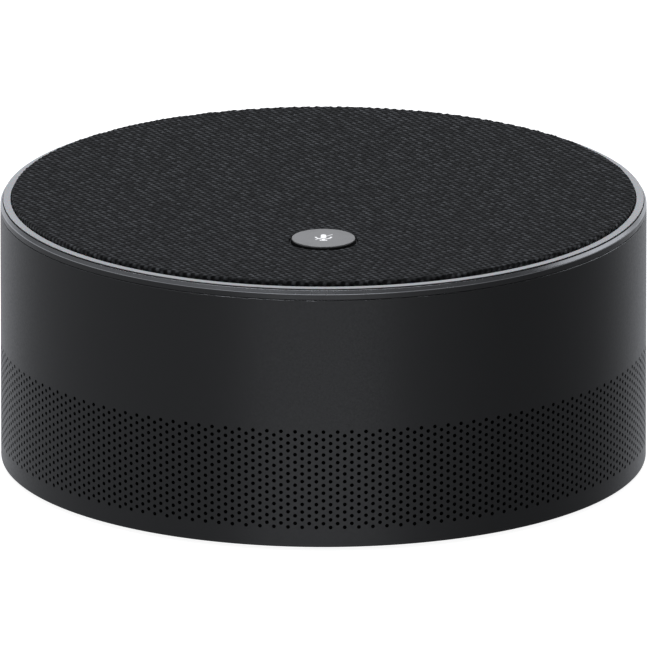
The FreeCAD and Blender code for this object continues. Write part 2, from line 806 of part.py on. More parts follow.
def make_driver_frame():
    ring("driver_gasket", baffle_bore, driver_radius, flange_top, d.gasket_thickness)
    basket_bore = d.basket_radius - d.basket_sheet
    neck_bore = d.basket_neck_radius - d.basket_sheet
    yoke_seat = d.yoke_radius + d.assembly_gap
    shelf_top = shelf_bottom + d.basket_sheet
    basket = turned("driver_basket", [
        (driver_lip_radius, flange_bottom),
        (driver_radius, flange_bottom),
        (driver_radius, flange_top),
        (d.basket_radius, flange_top),
        (d.basket_radius, shelf_top),
        (d.basket_neck_radius, shelf_top),
        (d.basket_neck_radius, neck_top),
        (yoke_seat, neck_top),
        (yoke_seat, yoke_bottom),
        (neck_bore, yoke_bottom),
        (neck_bore, shelf_bottom),
        (basket_bore, shelf_bottom),
        (basket_bore, flange_top),
        (driver_lip_radius, flange_top),
    ])
    window_level = flange_top + (d.basket_wall_height - d.basket_sheet) / 2
    sketch = new_sketch(basket, "basket_window_sketch", "XZ_Plane")
    add_circle(sketch, d.basket_window_radius, ZERO, window_level)
    window = basket.newObject("PartDesign::Pocket", "basket_windows")
    window.Profile = sketch
    bind(window, "Length", driver_radius)
    basket.Tip = window
    repeat_round(basket, window, BASKET_WINDOWS)
    cut_holes(basket, "driver_flange_holes", d.tiny_screw_radius + d.screw_gap,
              driver_screw_circle, DRIVER_SCREW_START, flange_top, d.flange_thickness,
              DRIVER_SCREWS)
    gasket = document.getObject("driver_gasket")
    cut_holes(gasket, "driver_gasket_holes", d.tiny_screw_radius + d.screw_gap,
              driver_screw_circle, DRIVER_SCREW_START, baffle_bottom, d.gasket_thickness,
              DRIVER_SCREWS)
    screws("driver_screws", driver_screw_circle, DRIVER_SCREW_START, DRIVER_SCREWS,
           flange_bottom, FACING_DOWN, "tiny_screw", d.driver_screw_length)

    turned("driver_yoke", [
        (ZERO, magnet_top),
        (d.yoke_bore_radius, magnet_top),
        (d.yoke_bore_radius, yoke_bottom),
        (d.yoke_radius, yoke_bottom),
        (d.yoke_radius, yoke_top),
        (ZERO, yoke_top),
    ])
    ring("driver_magnet", None, d.magnet_radius, magnet_bottom, d.magnet_thickness)
    ring("driver_top_plate", None, d.pole_radius, magnet_bottom - d.pole_thickness,
         d.pole_thickness)


def make_diaphragm():
    former_radius = d.coil_bore_radius + d.former_thickness
    cone_lip_top = flange_bottom + d.cone_thickness
    cone_top = flange_bottom + d.cone_depth
    former_bottom = cone_top - d.cone_thickness
    pole_middle = magnet_bottom - d.pole_thickness / 2
    ring("voice_coil_former", d.coil_bore_radius, former_radius, former_bottom, d.former_height)
    ring("voice_coil_winding", former_radius, former_radius + d.winding_thickness,
         pole_middle - d.winding_height / 2, d.winding_height)
    cone_inner_lip = cone_lip_radius - d.cone_lip_width
    turned("driver_cone", [
        (former_radius, cone_top - d.cone_thickness),
        (cone_inner_lip, flange_bottom),
        (cone_lip_radius, flange_bottom),
        (cone_lip_radius, cone_lip_top),
        (cone_inner_lip, cone_lip_top),
        (former_radius, cone_top),
    ])
    slope = (cone_top - d.cone_thickness - flange_bottom) / (cone_inner_lip - former_radius)
    cap_rim_top = cone_top - d.cone_thickness - slope * (d.dust_cap_radius - former_radius)
    cap_rim = cap_rim_top - d.dust_cap_thickness - d.assembly_gap
    cap_tip = cap_rim - d.dust_cap_height
    rise = d.dust_cap_height
    cap_arc = (d.dust_cap_radius * d.dust_cap_radius + rise * rise) / (rise * 2)
    turned("driver_dust_cap", [
        (ZERO, cap_tip, cap_arc),
        (d.dust_cap_radius, cap_rim),
        (d.dust_cap_radius, cap_rim + d.dust_cap_thickness, -cap_arc),
        (ZERO, cap_tip + d.dust_cap_thickness),
    ])


def make_suspension():
    roll_radius = (driver_lip_radius - cone_lip_radius) / 2
    rim_bottom = flange_bottom - d.surround_thickness
    inner_lip = cone_lip_radius - d.cone_lip_width
    inner_foot = cone_lip_radius - d.surround_thickness
    outer_foot = driver_lip_radius + d.surround_thickness
    outer_arc = roll_radius + d.surround_thickness + d.surround_arc_extra
    turned("driver_surround", [
        (inner_lip, rim_bottom),
        (inner_foot, rim_bottom, outer_arc),
        (outer_foot, rim_bottom),
        (outer_foot + d.surround_rim, rim_bottom),
        (outer_foot + d.surround_rim, flange_bottom),
        (driver_lip_radius, flange_bottom, -(roll_radius + d.surround_arc_extra)),
        (cone_lip_radius, flange_bottom),
        (inner_lip, flange_bottom),
    ])

    former_radius = d.coil_bore_radius + d.former_thickness
    wave_end = d.basket_neck_radius - d.basket_sheet
    rim_level = shelf_bottom - d.spider_thickness
    wave_start = former_radius + (wave_end - former_radius) / (2 * SPIDER_WAVES)
    wave_run = (wave_end - wave_start) / (2 * SPIDER_WAVES)
    crests = []
    for step in range(2 * SPIDER_WAVES + 1):
        drop = d.spider_wave * (step % 2)
        crests.append((wave_start + wave_run * step, rim_level - drop))
    spider_radius = wave_end + d.basket_sheet + d.spider_seat
    lower = [(former_radius, rim_level)] + crests + [(spider_radius, rim_level)]
    upper = [(radius, level + d.spider_thickness) for radius, level in reversed(lower)]
    turned("driver_spider", lower + upper)


def make_terminals_and_lead():
    shelf_top = shelf_bottom + d.basket_sheet
    place_x = lead_place()
    strip = block("terminal_strip", place_x, ZERO, shelf_top, d.terminal_length,
                  d.terminal_width, d.terminal_height)
    group("driver_terminals", [strip])
    lead_bottom = shelf_top + d.terminal_height
    sides = (-1, 1)
    wires = [
        cylinder(f"lead_wire_{number}", d.lead_radius, place_x, d.lead_spacing * side / 2,
                 lead_bottom, board_bottom - lead_bottom)
        for number, side in enumerate(sides, start=1)
    ]
    group("speaker_lead", wires)
    overhang = (d.grommet_height - d.lid_thickness) / 2
    plug = cylinder("grommet_plug", d.grommet_radius, place_x, ZERO, chamber_top - overhang,
                    d.grommet_height)
    for number, side in enumerate(sides, start=1):
        hole = cylinder(f"grommet_hole_{number}", d.lead_radius, place_x,
                        d.lead_spacing * side / 2, chamber_top - overhang, d.grommet_height)
        name = "lead_grommet" if side == sides[-1] else f"grommet_cut_{number}"
        plug = joined("Part::Cut", name, plug, hole)


def make_main_board():
    board = ring("main_board", None, main_board_radius, board_bottom, d.board_thickness)
    half_width = d.tongue_width / 2
    tongue_reach = wall_bore - d.tongue_setback
    sketch = new_sketch(board, "board_tongue_sketch", offset=board_bottom)
    add_outline(sketch, [
        (-half_width, ZERO),
        (half_width, ZERO),
        (half_width, tongue_reach),
        (-half_width, tongue_reach),
    ])
    tongue = board.newObject("PartDesign::Pad", "board_tongue")
    tongue.Profile = sketch
    bind(tongue, "Length", d.board_thickness)
    board.Tip = tongue
    cut_holes(board, "main_board_holes", d.tiny_screw_radius + d.screw_gap, d.standoff_circle,
              BOARD_SCREW_START, board_top, d.board_thickness, BOARD_SCREWS)
    screws("main_board_screws", d.standoff_circle, BOARD_SCREW_START, BOARD_SCREWS, board_top,
           FACING_UP, "tiny_screw", d.board_screw_length)

    processor = block("processor_package", ZERO, d.processor_behind, board_top,
                      d.processor_side, d.processor_side, d.processor_height)
    group("processor", [processor])
    pad = block("thermal_pad_sheet", ZERO, d.processor_behind, board_top + d.processor_height,
                d.processor_side, d.processor_side, d.thermal_pad_height)
    group("thermal_pad", [pad])

    outside = block("shield_outside", d.shield_beside, d.shield_behind, board_top,
                    d.shield_length, d.shield_width, d.shield_height)
    inside = block("shield_inside", d.shield_beside, d.shield_behind, board_top,
                   d.shield_length - d.shield_sheet * 2, d.shield_width - d.shield_sheet * 2,
                   d.shield_height - d.shield_sheet)
    joined("Part::Cut", "shield_can", outside, inside)

    amplifier = block("amplifier_package", d.amplifier_beside, -d.amplifier_ahead, board_top,
                      d.amplifier_side, d.amplifier_side, d.amplifier_height)
    group("audio_amplifier", [amplifier])
    capacitors = [
        cylinder(f"capacitor_{number}", d.capacitor_radius,
                 d.capacitor_beside + d.capacitor_spacing * number, -d.capacitor_ahead,
                 board_top, d.capacitor_height)
        for number in range(CAPACITORS)
    ]
    group("power_capacitors", capacitors)


def make_usb_socket():
    level = board_top + d.usb_height / 2
    mouth = wall_bore - d.usb_setback
    body = new_body("usb_c_socket")
    sketch = new_sketch(body, "usb_shell_sketch", "XZ_Plane", -mouth)
    add_slot(sketch, d.usb_width, d.usb_height, level)
    shell = body.newObject("PartDesign::Pad", "usb_shell")
    shell.Profile = sketch
    bind(shell, "Length", d.usb_length)
    body.Tip = shell
    back = mouth - d.usb_length + d.usb_back
    sketch = new_sketch(body, "usb_mouth_sketch", "XZ_Plane", -back)
    add_slot(sketch, d.usb_width - d.usb_shell * 2, d.usb_height - d.usb_shell * 2, level)
    cavity = body.newObject("PartDesign::Pocket", "usb_mouth")
    cavity.Profile = sketch
    bind(cavity, "Length", d.usb_length)
    body.Tip = cavity
    tongue_length = mouth - d.usb_tongue_setback - back
    tongue = block("usb_tongue_block", ZERO, back + tongue_length / 2,
                   level - d.usb_tongue_thickness / 2, d.usb_tongue_width, tongue_length,
                   d.usb_tongue_thickness)
    group("usb_c_tongue", [tongue])


def make_ribbon():
    connector_x = -d.connector_beside
    upper_bottom = mic_board_bottom - d.connector_height
    members = [
        block("lower_connector", connector_x, ZERO, board_top, d.connector_length,
              d.connector_width, d.connector_height),
        block("upper_connector", connector_x, ZERO, upper_bottom, d.connector_length,
              d.connector_width, d.connector_height),
    ]
    group("board_connectors", members)
    near = connector_x - d.connector_length / 2
    far = near - d.ribbon_fold
    lower = board_top + d.connector_height / 2
    upper = upper_bottom + d.connector_height / 2
    sheet_thickness = d.ribbon_thickness
    extruded("ribbon_cable", "XZ_Plane", [
        (near, lower),
        (far, lower),
        (far, upper),
        (near, upper),
        (near, upper - sheet_thickness),
        (far + sheet_thickness, upper - sheet_thickness),
        (far + sheet_thickness, lower + sheet_thickness),
        (near, lower + sheet_thickness),
    ], d.ribbon_width)


def make_upper_board():
    board = ring("mic_board", d.mic_board_bore, mic_board_radius, mic_board_bottom,
                 d.mic_board_thickness)
    cut_holes(board, "mic_board_holes", d.small_screw_radius + d.screw_gap, upper_post_circle,
              0.0, mic_board_top, d.mic_board_thickness, UPPER_POSTS)

    microphones = []
    gaskets = []
    gasket_bottom = mic_board_top + d.mic_height
    gasket_height = panel_bottom - gasket_bottom
    for number, angle in enumerate(angles(MICROPHONES, MICROPHONE_START), start=1):
        across, along = on_circle(d.mic_circle, angle)
        microphones.append(block(f"microphone_{number}", across, along, mic_board_top,
                                 d.mic_length, d.mic_width, d.mic_height))
        outer = cylinder(f"mic_gasket_{number}_outside", d.mic_gasket_radius, across, along,
                         gasket_bottom, gasket_height)
        bore = cylinder(f"mic_gasket_{number}_bore", d.mic_port_radius, across, along,
                        gasket_bottom, gasket_height)
        gaskets.append(joined("Part::Cut", f"mic_gasket_{number}", outer, bore))
    group("microphones", microphones)
    group("mic_gaskets", gaskets)

    lights = []
    for number, angle in enumerate(angles(LIGHTS), start=1):
        across, along = on_circle(led_circle, angle)
        lights.append(block(f"status_led_{number}", across, along, mic_board_top, d.led_length,
                            d.led_width, d.led_height))
    group("status_leds", lights)


def make_bezel_and_ring():
    lip_radius = d.wall_radius - d.bezel_chamfer_width
    seat_radius = lip_radius - d.bezel_lip
    floor_bore = upper_post_circle - d.upper_post_radius - d.bezel_floor_margin
    tenon_bottom = bezel_bottom - d.bezel_tenon_depth
    bezel = turned("top_bezel", [
        (floor_bore, bezel_bottom),
        (tenon_bore, bezel_bottom),
        (tenon_bore, tenon_bottom),
        (inner_fit, tenon_bottom),
        (inner_fit, bezel_bottom),
        (d.wall_radius, bezel_bottom),
        (d.wall_radius, bezel_shoulder),
        (lip_radius, bezel_top),
        (seat_radius, bezel_top),
        (seat_radius, bezel_floor_top),
        (floor_bore, bezel_floor_top),
    ])
    add_posts(bezel, "bezel_bosses", d.upper_post_radius, upper_post_circle, 0.0,
              mic_board_top, bezel_bottom - mic_board_top, UPPER_POSTS)
    hole_radius = d.small_screw_radius + d.screw_gap
    head_depth = d.small_screw_head_height
    cut_holes(bezel, "bezel_screw_holes", hole_radius, upper_post_circle, 0.0,
              bezel_floor_top, bezel_floor_top - mic_board_top, UPPER_POSTS)
    cut_holes(bezel, "bezel_counterbores", d.small_screw_head_radius + d.screw_gap,
              upper_post_circle, 0.0, bezel_floor_top, head_depth, UPPER_POSTS)
    cut_holes(bezel, "light_windows", d.led_window_radius, led_circle, 0.0, bezel_floor_top,
              d.bezel_floor, LIGHTS)
    screws("top_screws", upper_post_circle, 0.0, UPPER_POSTS, bezel_floor_top - head_depth,
           FACING_UP, "small_screw", d.top_screw_length - head_depth)

    turned("light_ring", [
        (ring_foot_radius, bezel_floor_top),
        (ring_radius, bezel_floor_top),
        (ring_radius, ring_top),
        (ring_bore, ring_top),
        (ring_bore, ring_foot_top),
        (ring_foot_radius, ring_foot_top),
    ])


def make_top():
    adhesive_bore = ring_foot_radius + d.moulding_gap
    ring("panel_adhesive", adhesive_bore, adhesive_bore + d.adhesive_width, ring_foot_top,
         d.adhesive_thickness)
    panel = ring("top_panel", None, panel_radius, panel_bottom, d.panel_thickness)
    cut_hole(panel, "panel_button_hole", collar_bore, ZERO, -d.button_offset, panel_top,
             d.panel_thickness)
    cut_holes(panel, "microphone_ports", d.mic_port_radius, d.mic_circle, MICROPHONE_START,
              panel_top, d.panel_thickness, MICROPHONES)

    cloth = turned("top_fabric", [
        (ZERO, panel_top),
        (panel_radius, panel_top),
        (panel_radius, panel_bottom),
        (cloth_radius, panel_bottom),
        (cloth_radius, cloth_top - d.cloth_edge_radius, d.cloth_edge_radius),
        (cloth_radius - d.cloth_edge_radius, cloth_top),
        (ZERO, cloth_top),
    ])
    cut_hole(cloth, "cloth_button_hole", collar_radius + d.collar_cloth_gap, ZERO,
             -d.button_offset, cloth_top, cloth_top - panel_top)


def make_button():
    switch_top = mic_board_top + d.switch_height
    plunger_top = switch_top + d.button_travel + d.assembly_gap
    plunger_bottom = plunger_top - d.plunger_height
    flange_bottom_level = plunger_top + d.button_stem
    flange_top_level = panel_bottom - d.button_stop_gap
    cap = turned("mute_button", [
        (ZERO, plunger_top),
        (d.button_stem_radius, plunger_top),
        (d.button_stem_radius, flange_bottom_level),
        (d.button_radius + d.button_flange, flange_bottom_level),
        (d.button_radius + d.button_flange, flange_top_level),
        (d.button_radius, flange_top_level),
        (d.button_radius, button_top - d.button_edge),
        (d.button_radius - d.button_edge, button_top),
        (ZERO, button_top),
    ])
    plunger = ring("switch_plunger", None, d.plunger_radius, plunger_bottom, d.plunger_height)
    pad_radius = d.button_radius + d.button_flange - d.pad_inset
    pad = ring("button_pad", pad_radius - d.pad_width, pad_radius, mic_board_top,
               flange_bottom_level - mic_board_top)
    collar = ring("button_collar", collar_bore, collar_radius, panel_top, d.collar_height)
    for body in (cap, plunger, pad, collar):
        bind(body, "Placement.Base.y", -d.button_offset)

    housing = block("switch_block", ZERO, -d.button_offset, mic_board_top, d.switch_side,
                    d.switch_side, d.switch_height)
    well = cylinder("switch_well", d.plunger_radius + d.plunger_gap, ZERO, -d.button_offset,
                    switch_top - d.switch_well, d.switch_well)
    joined("Part::Cut", "tact_switch", housing, well)


make_foot_and_base()
make_reflector()
make_housing()
make_enclosure()
make_driver_frame()
make_diaphragm()
make_suspension()
make_terminals_and_lead()
make_main_board()
make_usb_socket()
make_ribbon()
make_upper_board()
make_bezel_and_ring()
make_top()
make_button()

NODES = [
    "foot_ring", "base_plate", "base_screws", "sound_reflector", "reflector_screw",
    "outer_housing", "wall_cloth_liner", "speaker_enclosure", "enclosure_seal", "enclosure_lid",
    "lid_screws", "driver_gasket", "driver_basket", "driver_screws", "driver_yoke",
    "driver_magnet", "driver_top_plate", "voice_coil_former", "voice_coil_winding",
    "driver_cone", "driver_dust_cap", "driver_surround", "driver_spider", "driver_terminals",
    "speaker_lead", "lead_grommet", "main_board", "main_board_screws", "processor",
    "thermal_pad", "shield_can", "audio_amplifier", "power_capacitors", "usb_c_socket",
    "usb_c_tongue", "board_connectors", "ribbon_cable", "mic_board", "microphones",
    "mic_gaskets", "status_leds", "tact_switch", "switch_plunger", "button_pad", "mute_button",
    "button_collar", "top_bezel", "top_screws", "light_ring", "panel_adhesive", "top_panel",
    "top_fabric",
]

document.recompute()

for item in document.Objects:
    if "Invalid" in item.State or "Error" in item.State:
        raise RuntimeError(f"{item.Name} did not compute: {item.State}")

os.makedirs("parts", exist_ok=True)
for node in NODES:
    shape = document.getObject(node).Shape
    if shape.isNull() or not shape.isValid() or not shape.Solids:
        raise RuntimeError(f"{node} has no valid solid")
    shape.exportStep(f"parts/{node}.step")
    print(f"{node}: {len(shape.Solids)} solids, {shape.Volume:.1f} mm3")
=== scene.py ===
"""A round conference speakerphone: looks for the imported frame, in metres."""
import math

import bmesh
import bpy
import numpy as np
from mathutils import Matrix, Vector
from mathutils.geometry import delaunay_2d_cdt


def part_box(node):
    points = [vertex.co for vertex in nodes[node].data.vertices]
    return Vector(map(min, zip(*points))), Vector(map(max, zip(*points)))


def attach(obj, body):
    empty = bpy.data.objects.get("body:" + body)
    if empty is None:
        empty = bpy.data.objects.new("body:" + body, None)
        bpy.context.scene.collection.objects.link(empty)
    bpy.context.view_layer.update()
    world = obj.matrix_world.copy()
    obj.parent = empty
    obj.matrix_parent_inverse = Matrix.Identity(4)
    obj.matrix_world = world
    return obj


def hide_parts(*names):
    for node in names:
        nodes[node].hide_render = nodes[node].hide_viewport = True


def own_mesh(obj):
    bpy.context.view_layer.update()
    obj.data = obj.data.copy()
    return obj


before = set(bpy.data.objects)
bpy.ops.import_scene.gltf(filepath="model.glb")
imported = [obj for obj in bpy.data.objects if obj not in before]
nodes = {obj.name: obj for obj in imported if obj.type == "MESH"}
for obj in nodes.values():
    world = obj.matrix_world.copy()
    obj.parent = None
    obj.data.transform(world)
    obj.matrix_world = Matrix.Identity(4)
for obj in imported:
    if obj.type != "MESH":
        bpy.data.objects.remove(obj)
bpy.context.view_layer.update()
MM = 0.001


def span(node):
    """The node's lowest and highest corners, in millimetres."""
    low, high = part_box(node)
    return low / MM, high / MM


# ---------------------------------------------------------------- sizes, in millimetres
housing_low, housing_high = span("outer_housing")
WALL_RADIUS = round(housing_high.x, 3)
WALL_BOTTOM, WALL_TOP = round(housing_low.z, 3), round(housing_high.z, 3)
WALL_BORE = round(span("wall_cloth_liner")[1].x, 3)
LEDGE_BORE = 64.5
LOWER_LEDGE = (3.35, 4.15)
UPPER_LEDGE = (29.25, 30.75)
HOLE_COLUMNS, HOLE_ROWS = 288, 13
HOLE_RADIUS = 0.43
HOLE_PITCH = 1.675
BAND_BOTTOM = 4.37
BAND_TOP = BAND_BOTTOM + HOLE_PITCH * (HOLE_ROWS + 0.5)
SOCKET_LEVEL = (span("usb_c_socket")[0].z + span("usb_c_socket")[1].z) / 2
SOCKET_OPENING = (9.58, 3.9)
SOCKET_RECESS = (12.78, 7.1)
RECESS_DEPTH = 0.7

bezel_low, bezel_high = span("top_bezel")
BEZEL_BOTTOM, BEZEL_FLOOR, BEZEL_SHOULDER = 55.06, 55.96, 56.36
BEZEL_TOP = round(bezel_high.z, 3)
BEZEL_SEAT, BEZEL_LIP, BEZEL_BORE = 67.94, 68.04, 53.5
TENON_RADII, TENON_BOTTOM = (65.0, 66.1), round(bezel_low.z, 3)
BOSS_CIRCLE, BOSS_RADIUS, BOSS_COUNT = 57.0, 3.0, 6
SCREW_HOLE, SCREW_HEAD, HEAD_DEPTH = 1.4, 2.45, 1.4
WINDOW_CIRCLE, WINDOW_RADIUS, WINDOW_COUNT = 63.0, 1.2, 24
BOSS_FOOT, CUT_TOP, CUT_FOOT = 53.8, 57.0, 52.0
FOOT_BORE = 50.0

RING_OUTER, RING_TOP = 67.9, round(span("light_ring")[1].z, 3)
RING_BORE, RING_FOOT, RING_FOOT_TOP = 66.35, 61.8, 56.5

CLOTH_RADIUS = 66.15
CLOTH_TOP, CLOTH_SEAT = round(span("top_fabric")[1].z, 3), round(span("top_panel")[1].z, 3)
CLOTH_BOTTOM = round(span("top_fabric")[0].z, 3)
CLOTH_INNER = 65.5
CLOTH_ROLL = 0.55
YARN_ANGLES = (75.0, -13.0)
YARN_PITCHES = (0.917, 1.06)
WEAVE_DEPTH = 0.2
YARN_ROW = 4096.0

BUTTON_RADIUS, BUTTON_TRAVEL, BUTTON_EDGE = 6.665, 0.35, 0.12
BUTTON_Y = round((span("mute_button")[0].y + span("mute_button")[1].y) / 2, 2)
BUTTON_TOP, BUTTON_FOOT = (round(c.z, 3) for c in reversed(span("mute_button")))
BUTTON_FLANGE, FLANGE_LEVELS, STEM_RADIUS = 7.565, (55.75, 56.5), 1.5
COLLAR_RADII, COLLAR_TOP = (6.865, 7.265), round(span("button_collar")[1].z, 3)
CLOTH_HOLE = 7.365
RIM_POINTS, HOLE_POINTS = 800, 96


# ---------------------------------------------------------------- node trees
def add_node(tree, kind, sockets=None, **settings):
    """A new node with its settings; a socket takes a link or a plain value."""
    item = tree.nodes.new(kind)
    for name, value in settings.items():
        setattr(item, name, value)
    for key, value in (sockets or {}).items():
        if isinstance(value, bpy.types.NodeSocket):
            tree.links.new(value, item.inputs[key])
        else:
            item.inputs[key].default_value = value
    return item


def maths(tree, operation, *values):
    """A Math node's output socket."""
    return add_node(tree, "ShaderNodeMath", dict(enumerate(values)),
                    operation=operation).outputs[0]


def dot(tree, vector, direction):
    """How far a vector reaches along a direction."""
    item = add_node(tree, "ShaderNodeVectorMath", {0: vector, 1: direction},
                    operation="DOT_PRODUCT")
    return item.outputs["Value"]


def new_tree(name, inputs):
    """A Geometry Nodes tree with its named inputs, as the tree and its group input."""
    tree = bpy.data.node_groups.new(name, "GeometryNodeTree")
    tree.interface.new_socket("Geometry", in_out="INPUT", socket_type="NodeSocketGeometry")
    for label, kind in inputs.items():
        tree.interface.new_socket(label, in_out="INPUT", socket_type="NodeSocket" + kind)
    tree.interface.new_socket("Geometry", in_out="OUTPUT", socket_type="NodeSocketGeometry")
    return tree, tree.nodes.new("NodeGroupInput").outputs


def end_tree(tree, geometry, given):
    """Ends a tree with its material and its output."""
    painted = add_node(tree, "GeometryNodeSetMaterial",
                       {"Geometry": geometry, "Material": given["Material"]})
    add_node(tree, "NodeGroupOutput", {"Geometry": painted.outputs[0]})
    return tree


def wall_hole_tree():
    """Copies of one wall cell turned about Z, in rows, with alternate columns staggered."""
    tree, given = new_tree("wall_perforations", {
        "Columns": "Int", "Rows": "Int", "Row Pitch": "Float", "Stagger": "Float",
        "First Row": "Float", "Merge Distance": "Float", "Material": "Material"})
    count = maths(tree, "MULTIPLY", given["Columns"], given["Rows"])
    index = add_node(tree, "GeometryNodeInputIndex").outputs[0]
    column = maths(tree, "MODULO", index, given["Columns"])
    row = maths(tree, "FLOOR", maths(tree, "DIVIDE", index, given["Columns"]))
    raised = maths(tree, "MULTIPLY", given["Stagger"],
                   maths(tree, "SUBTRACT", 1.0, maths(tree, "MODULO", column, 2.0)))
    level = maths(tree, "ADD", maths(tree, "MULTIPLY_ADD", row, given["Row Pitch"],
                                     given["First Row"]), raised)
    turn = maths(tree, "MULTIPLY", math.tau, maths(tree, "DIVIDE", column, given["Columns"]))
    spot = add_node(tree, "ShaderNodeCombineXYZ", {"Z": level}).outputs[0]
    rotation = add_node(tree, "ShaderNodeCombineXYZ", {"Z": turn}).outputs[0]
    points = add_node(tree, "GeometryNodePoints", {"Count": count, "Position": spot})
    copies = add_node(tree, "GeometryNodeInstanceOnPoints", {
        "Points": points.outputs[0], "Instance": given["Geometry"], "Rotation": rotation})
    real = add_node(tree, "GeometryNodeRealizeInstances", {"Geometry": copies.outputs[0]})
    sewn = add_node(tree, "GeometryNodeMergeByDistance", {
        "Geometry": real.outputs[0], "Distance": given["Merge Distance"]})
    return end_tree(tree, sewn.outputs[0], given)


def circle_tree():
    """Copies of a piece set round a circle about Z, each turned to face outwards."""
    tree, given = new_tree("round_a_circle", {
        "Count": "Int", "Radius": "Float", "Start": "Float", "Material": "Material"})
    index = add_node(tree, "GeometryNodeInputIndex").outputs[0]
    share = maths(tree, "DIVIDE", index, given["Count"])
    turn = maths(tree, "MULTIPLY_ADD", share, math.tau, given["Start"])
    spot = add_node(tree, "ShaderNodeCombineXYZ", {
        "X": maths(tree, "MULTIPLY", maths(tree, "COSINE", turn), given["Radius"]),
        "Y": maths(tree, "MULTIPLY", maths(tree, "SINE", turn), given["Radius"])}).outputs[0]
    rotation = add_node(tree, "ShaderNodeCombineXYZ", {"Z": turn}).outputs[0]
    points = add_node(tree, "GeometryNodePoints", {"Count": given["Count"], "Position": spot})
    copies = add_node(tree, "GeometryNodeInstanceOnPoints", {
        "Points": points.outputs[0], "Instance": given["Geometry"], "Rotation": rotation})
    real = add_node(tree, "GeometryNodeRealizeInstances", {"Geometry": copies.outputs[0]})
    return end_tree(tree, real.outputs[0], given)


def yarn_counts(tree, flat, directions, pitches):
    """How many yarns of each set lie between the middle and a point."""
    return [maths(tree, "DIVIDE", dot(tree, flat, direction), pitch)
            for direction, pitch in zip(directions, pitches)]


def yarn_crossing(tree, counts):
    """How far each crossing stands up or down in a plain weave, from 1 to -1."""
    return maths(tree, "MULTIPLY", *(
        maths(tree, "COSINE", maths(tree, "MULTIPLY", count, math.pi)) for count in counts))


def weave_tree():
    """Lifts and sinks a cloth's surface at the crossings of its yarns."""
    tree, given = new_tree("weave_relief", {
        "Across A": "Vector", "Across B": "Vector", "Pitch A": "Float", "Pitch B": "Float",
        "Depth": "Float", "Material": "Material"})
    flat = add_node(tree, "GeometryNodeInputNamedAttribute", {"Name": "flat"},
                    data_type="FLOAT_VECTOR").outputs[0]
    face = add_node(tree, "GeometryNodeInputNamedAttribute", {"Name": "face"},
                    data_type="FLOAT").outputs[0]
    counts = yarn_counts(tree, flat, (given["Across A"], given["Across B"]),
                         (given["Pitch A"], given["Pitch B"]))
    rise = yarn_crossing(tree, counts)
    stitch = [maths(tree, "ROUND", count) for count in counts]
    chance = add_node(tree, "FunctionNodeRandomValue", {
        "ID": maths(tree, "MULTIPLY_ADD", stitch[0], YARN_ROW, stitch[1]), "Min": 0.45, "Max": 1.0,
        "Seed": 11}, data_type="FLOAT").outputs["Value"]
    rise = maths(tree, "MULTIPLY", maths(tree, "MULTIPLY", rise, given["Depth"]), face)
    rise = maths(tree, "MULTIPLY", rise, chance)
    normal = add_node(tree, "GeometryNodeInputNormal").outputs[0]
    offset = add_node(tree, "ShaderNodeVectorMath", {0: normal, "Scale": rise},
                      operation="SCALE").outputs[0]
    moved = add_node(tree, "GeometryNodeSetPosition", {
        "Geometry": given["Geometry"], "Offset": offset})
    real = add_node(tree, "GeometryNodeRealizeInstances", {"Geometry": moved.outputs[0]})
    return end_tree(tree, real.outputs[0], given)


def give(piece, tree, **values):
    """Puts a tree on a piece and sets its inputs by the sockets' identifiers."""
    modifier = piece.modifiers.new(tree.name, "NODES")
    modifier.node_group = tree
    for item in tree.interface.items_tree:
        key = item.name.replace(" ", "_").lower()
        if item.in_out == "INPUT" and key in values:
            modifier[item.identifier] = values[key]
    return piece


def made_plain(piece):
    """Replaces a piece's modifiers by the mesh that they make."""
    graph = bpy.context.evaluated_depsgraph_get()
    mesh = bpy.data.meshes.new_from_object(piece.evaluated_get(graph))
    piece.modifiers.clear()
    piece.data = mesh
    mesh.name = piece.name
    return piece


# ---------------------------------------------------------------- meshes
FINE_SHARP = 28.0


def new_piece(name, vertices, faces):
    """A mesh object from points in millimetres."""
    mesh = bpy.data.meshes.new(name)
    mesh.from_pydata([tuple(c * MM for c in v) for v in vertices], [], faces)
    piece = bpy.data.objects.new(name, mesh)
    bpy.context.scene.collection.objects.link(piece)
    return piece


def on_wall(radius, angle, height):
    """A point at an angle from the front, anticlockwise seen from above."""
    return radius * math.sin(angle), -radius * math.cos(angle), height


def lathe(outline, segments=HOLE_COLUMNS, closed=True):
    """Points and faces of an outline of (radius, height), clockwise, turned about Z."""
    vertices, faces, rows = [], [], []
    for radius, height in outline:
        if radius < 1e-6:
            rows.append([len(vertices)] * segments)
            vertices.append((0.0, 0.0, height))
            continue
        rows.append(list(range(len(vertices), len(vertices) + segments)))
        vertices += [on_wall(radius, math.tau * (k + 0.5) / segments, height)
                     for k in range(segments)]
    pairs = list(zip(rows, rows[1:] + rows[:1])) if closed else list(zip(rows, rows[1:]))
    for upper, lower in pairs:
        for k in range(segments):
            n = (k + 1) % segments
            corners = [upper[k], lower[k], lower[n], upper[n]]
            face = list(dict.fromkeys(corners))
            if len(face) > 2:
                faces.append(face)
    return vertices, faces


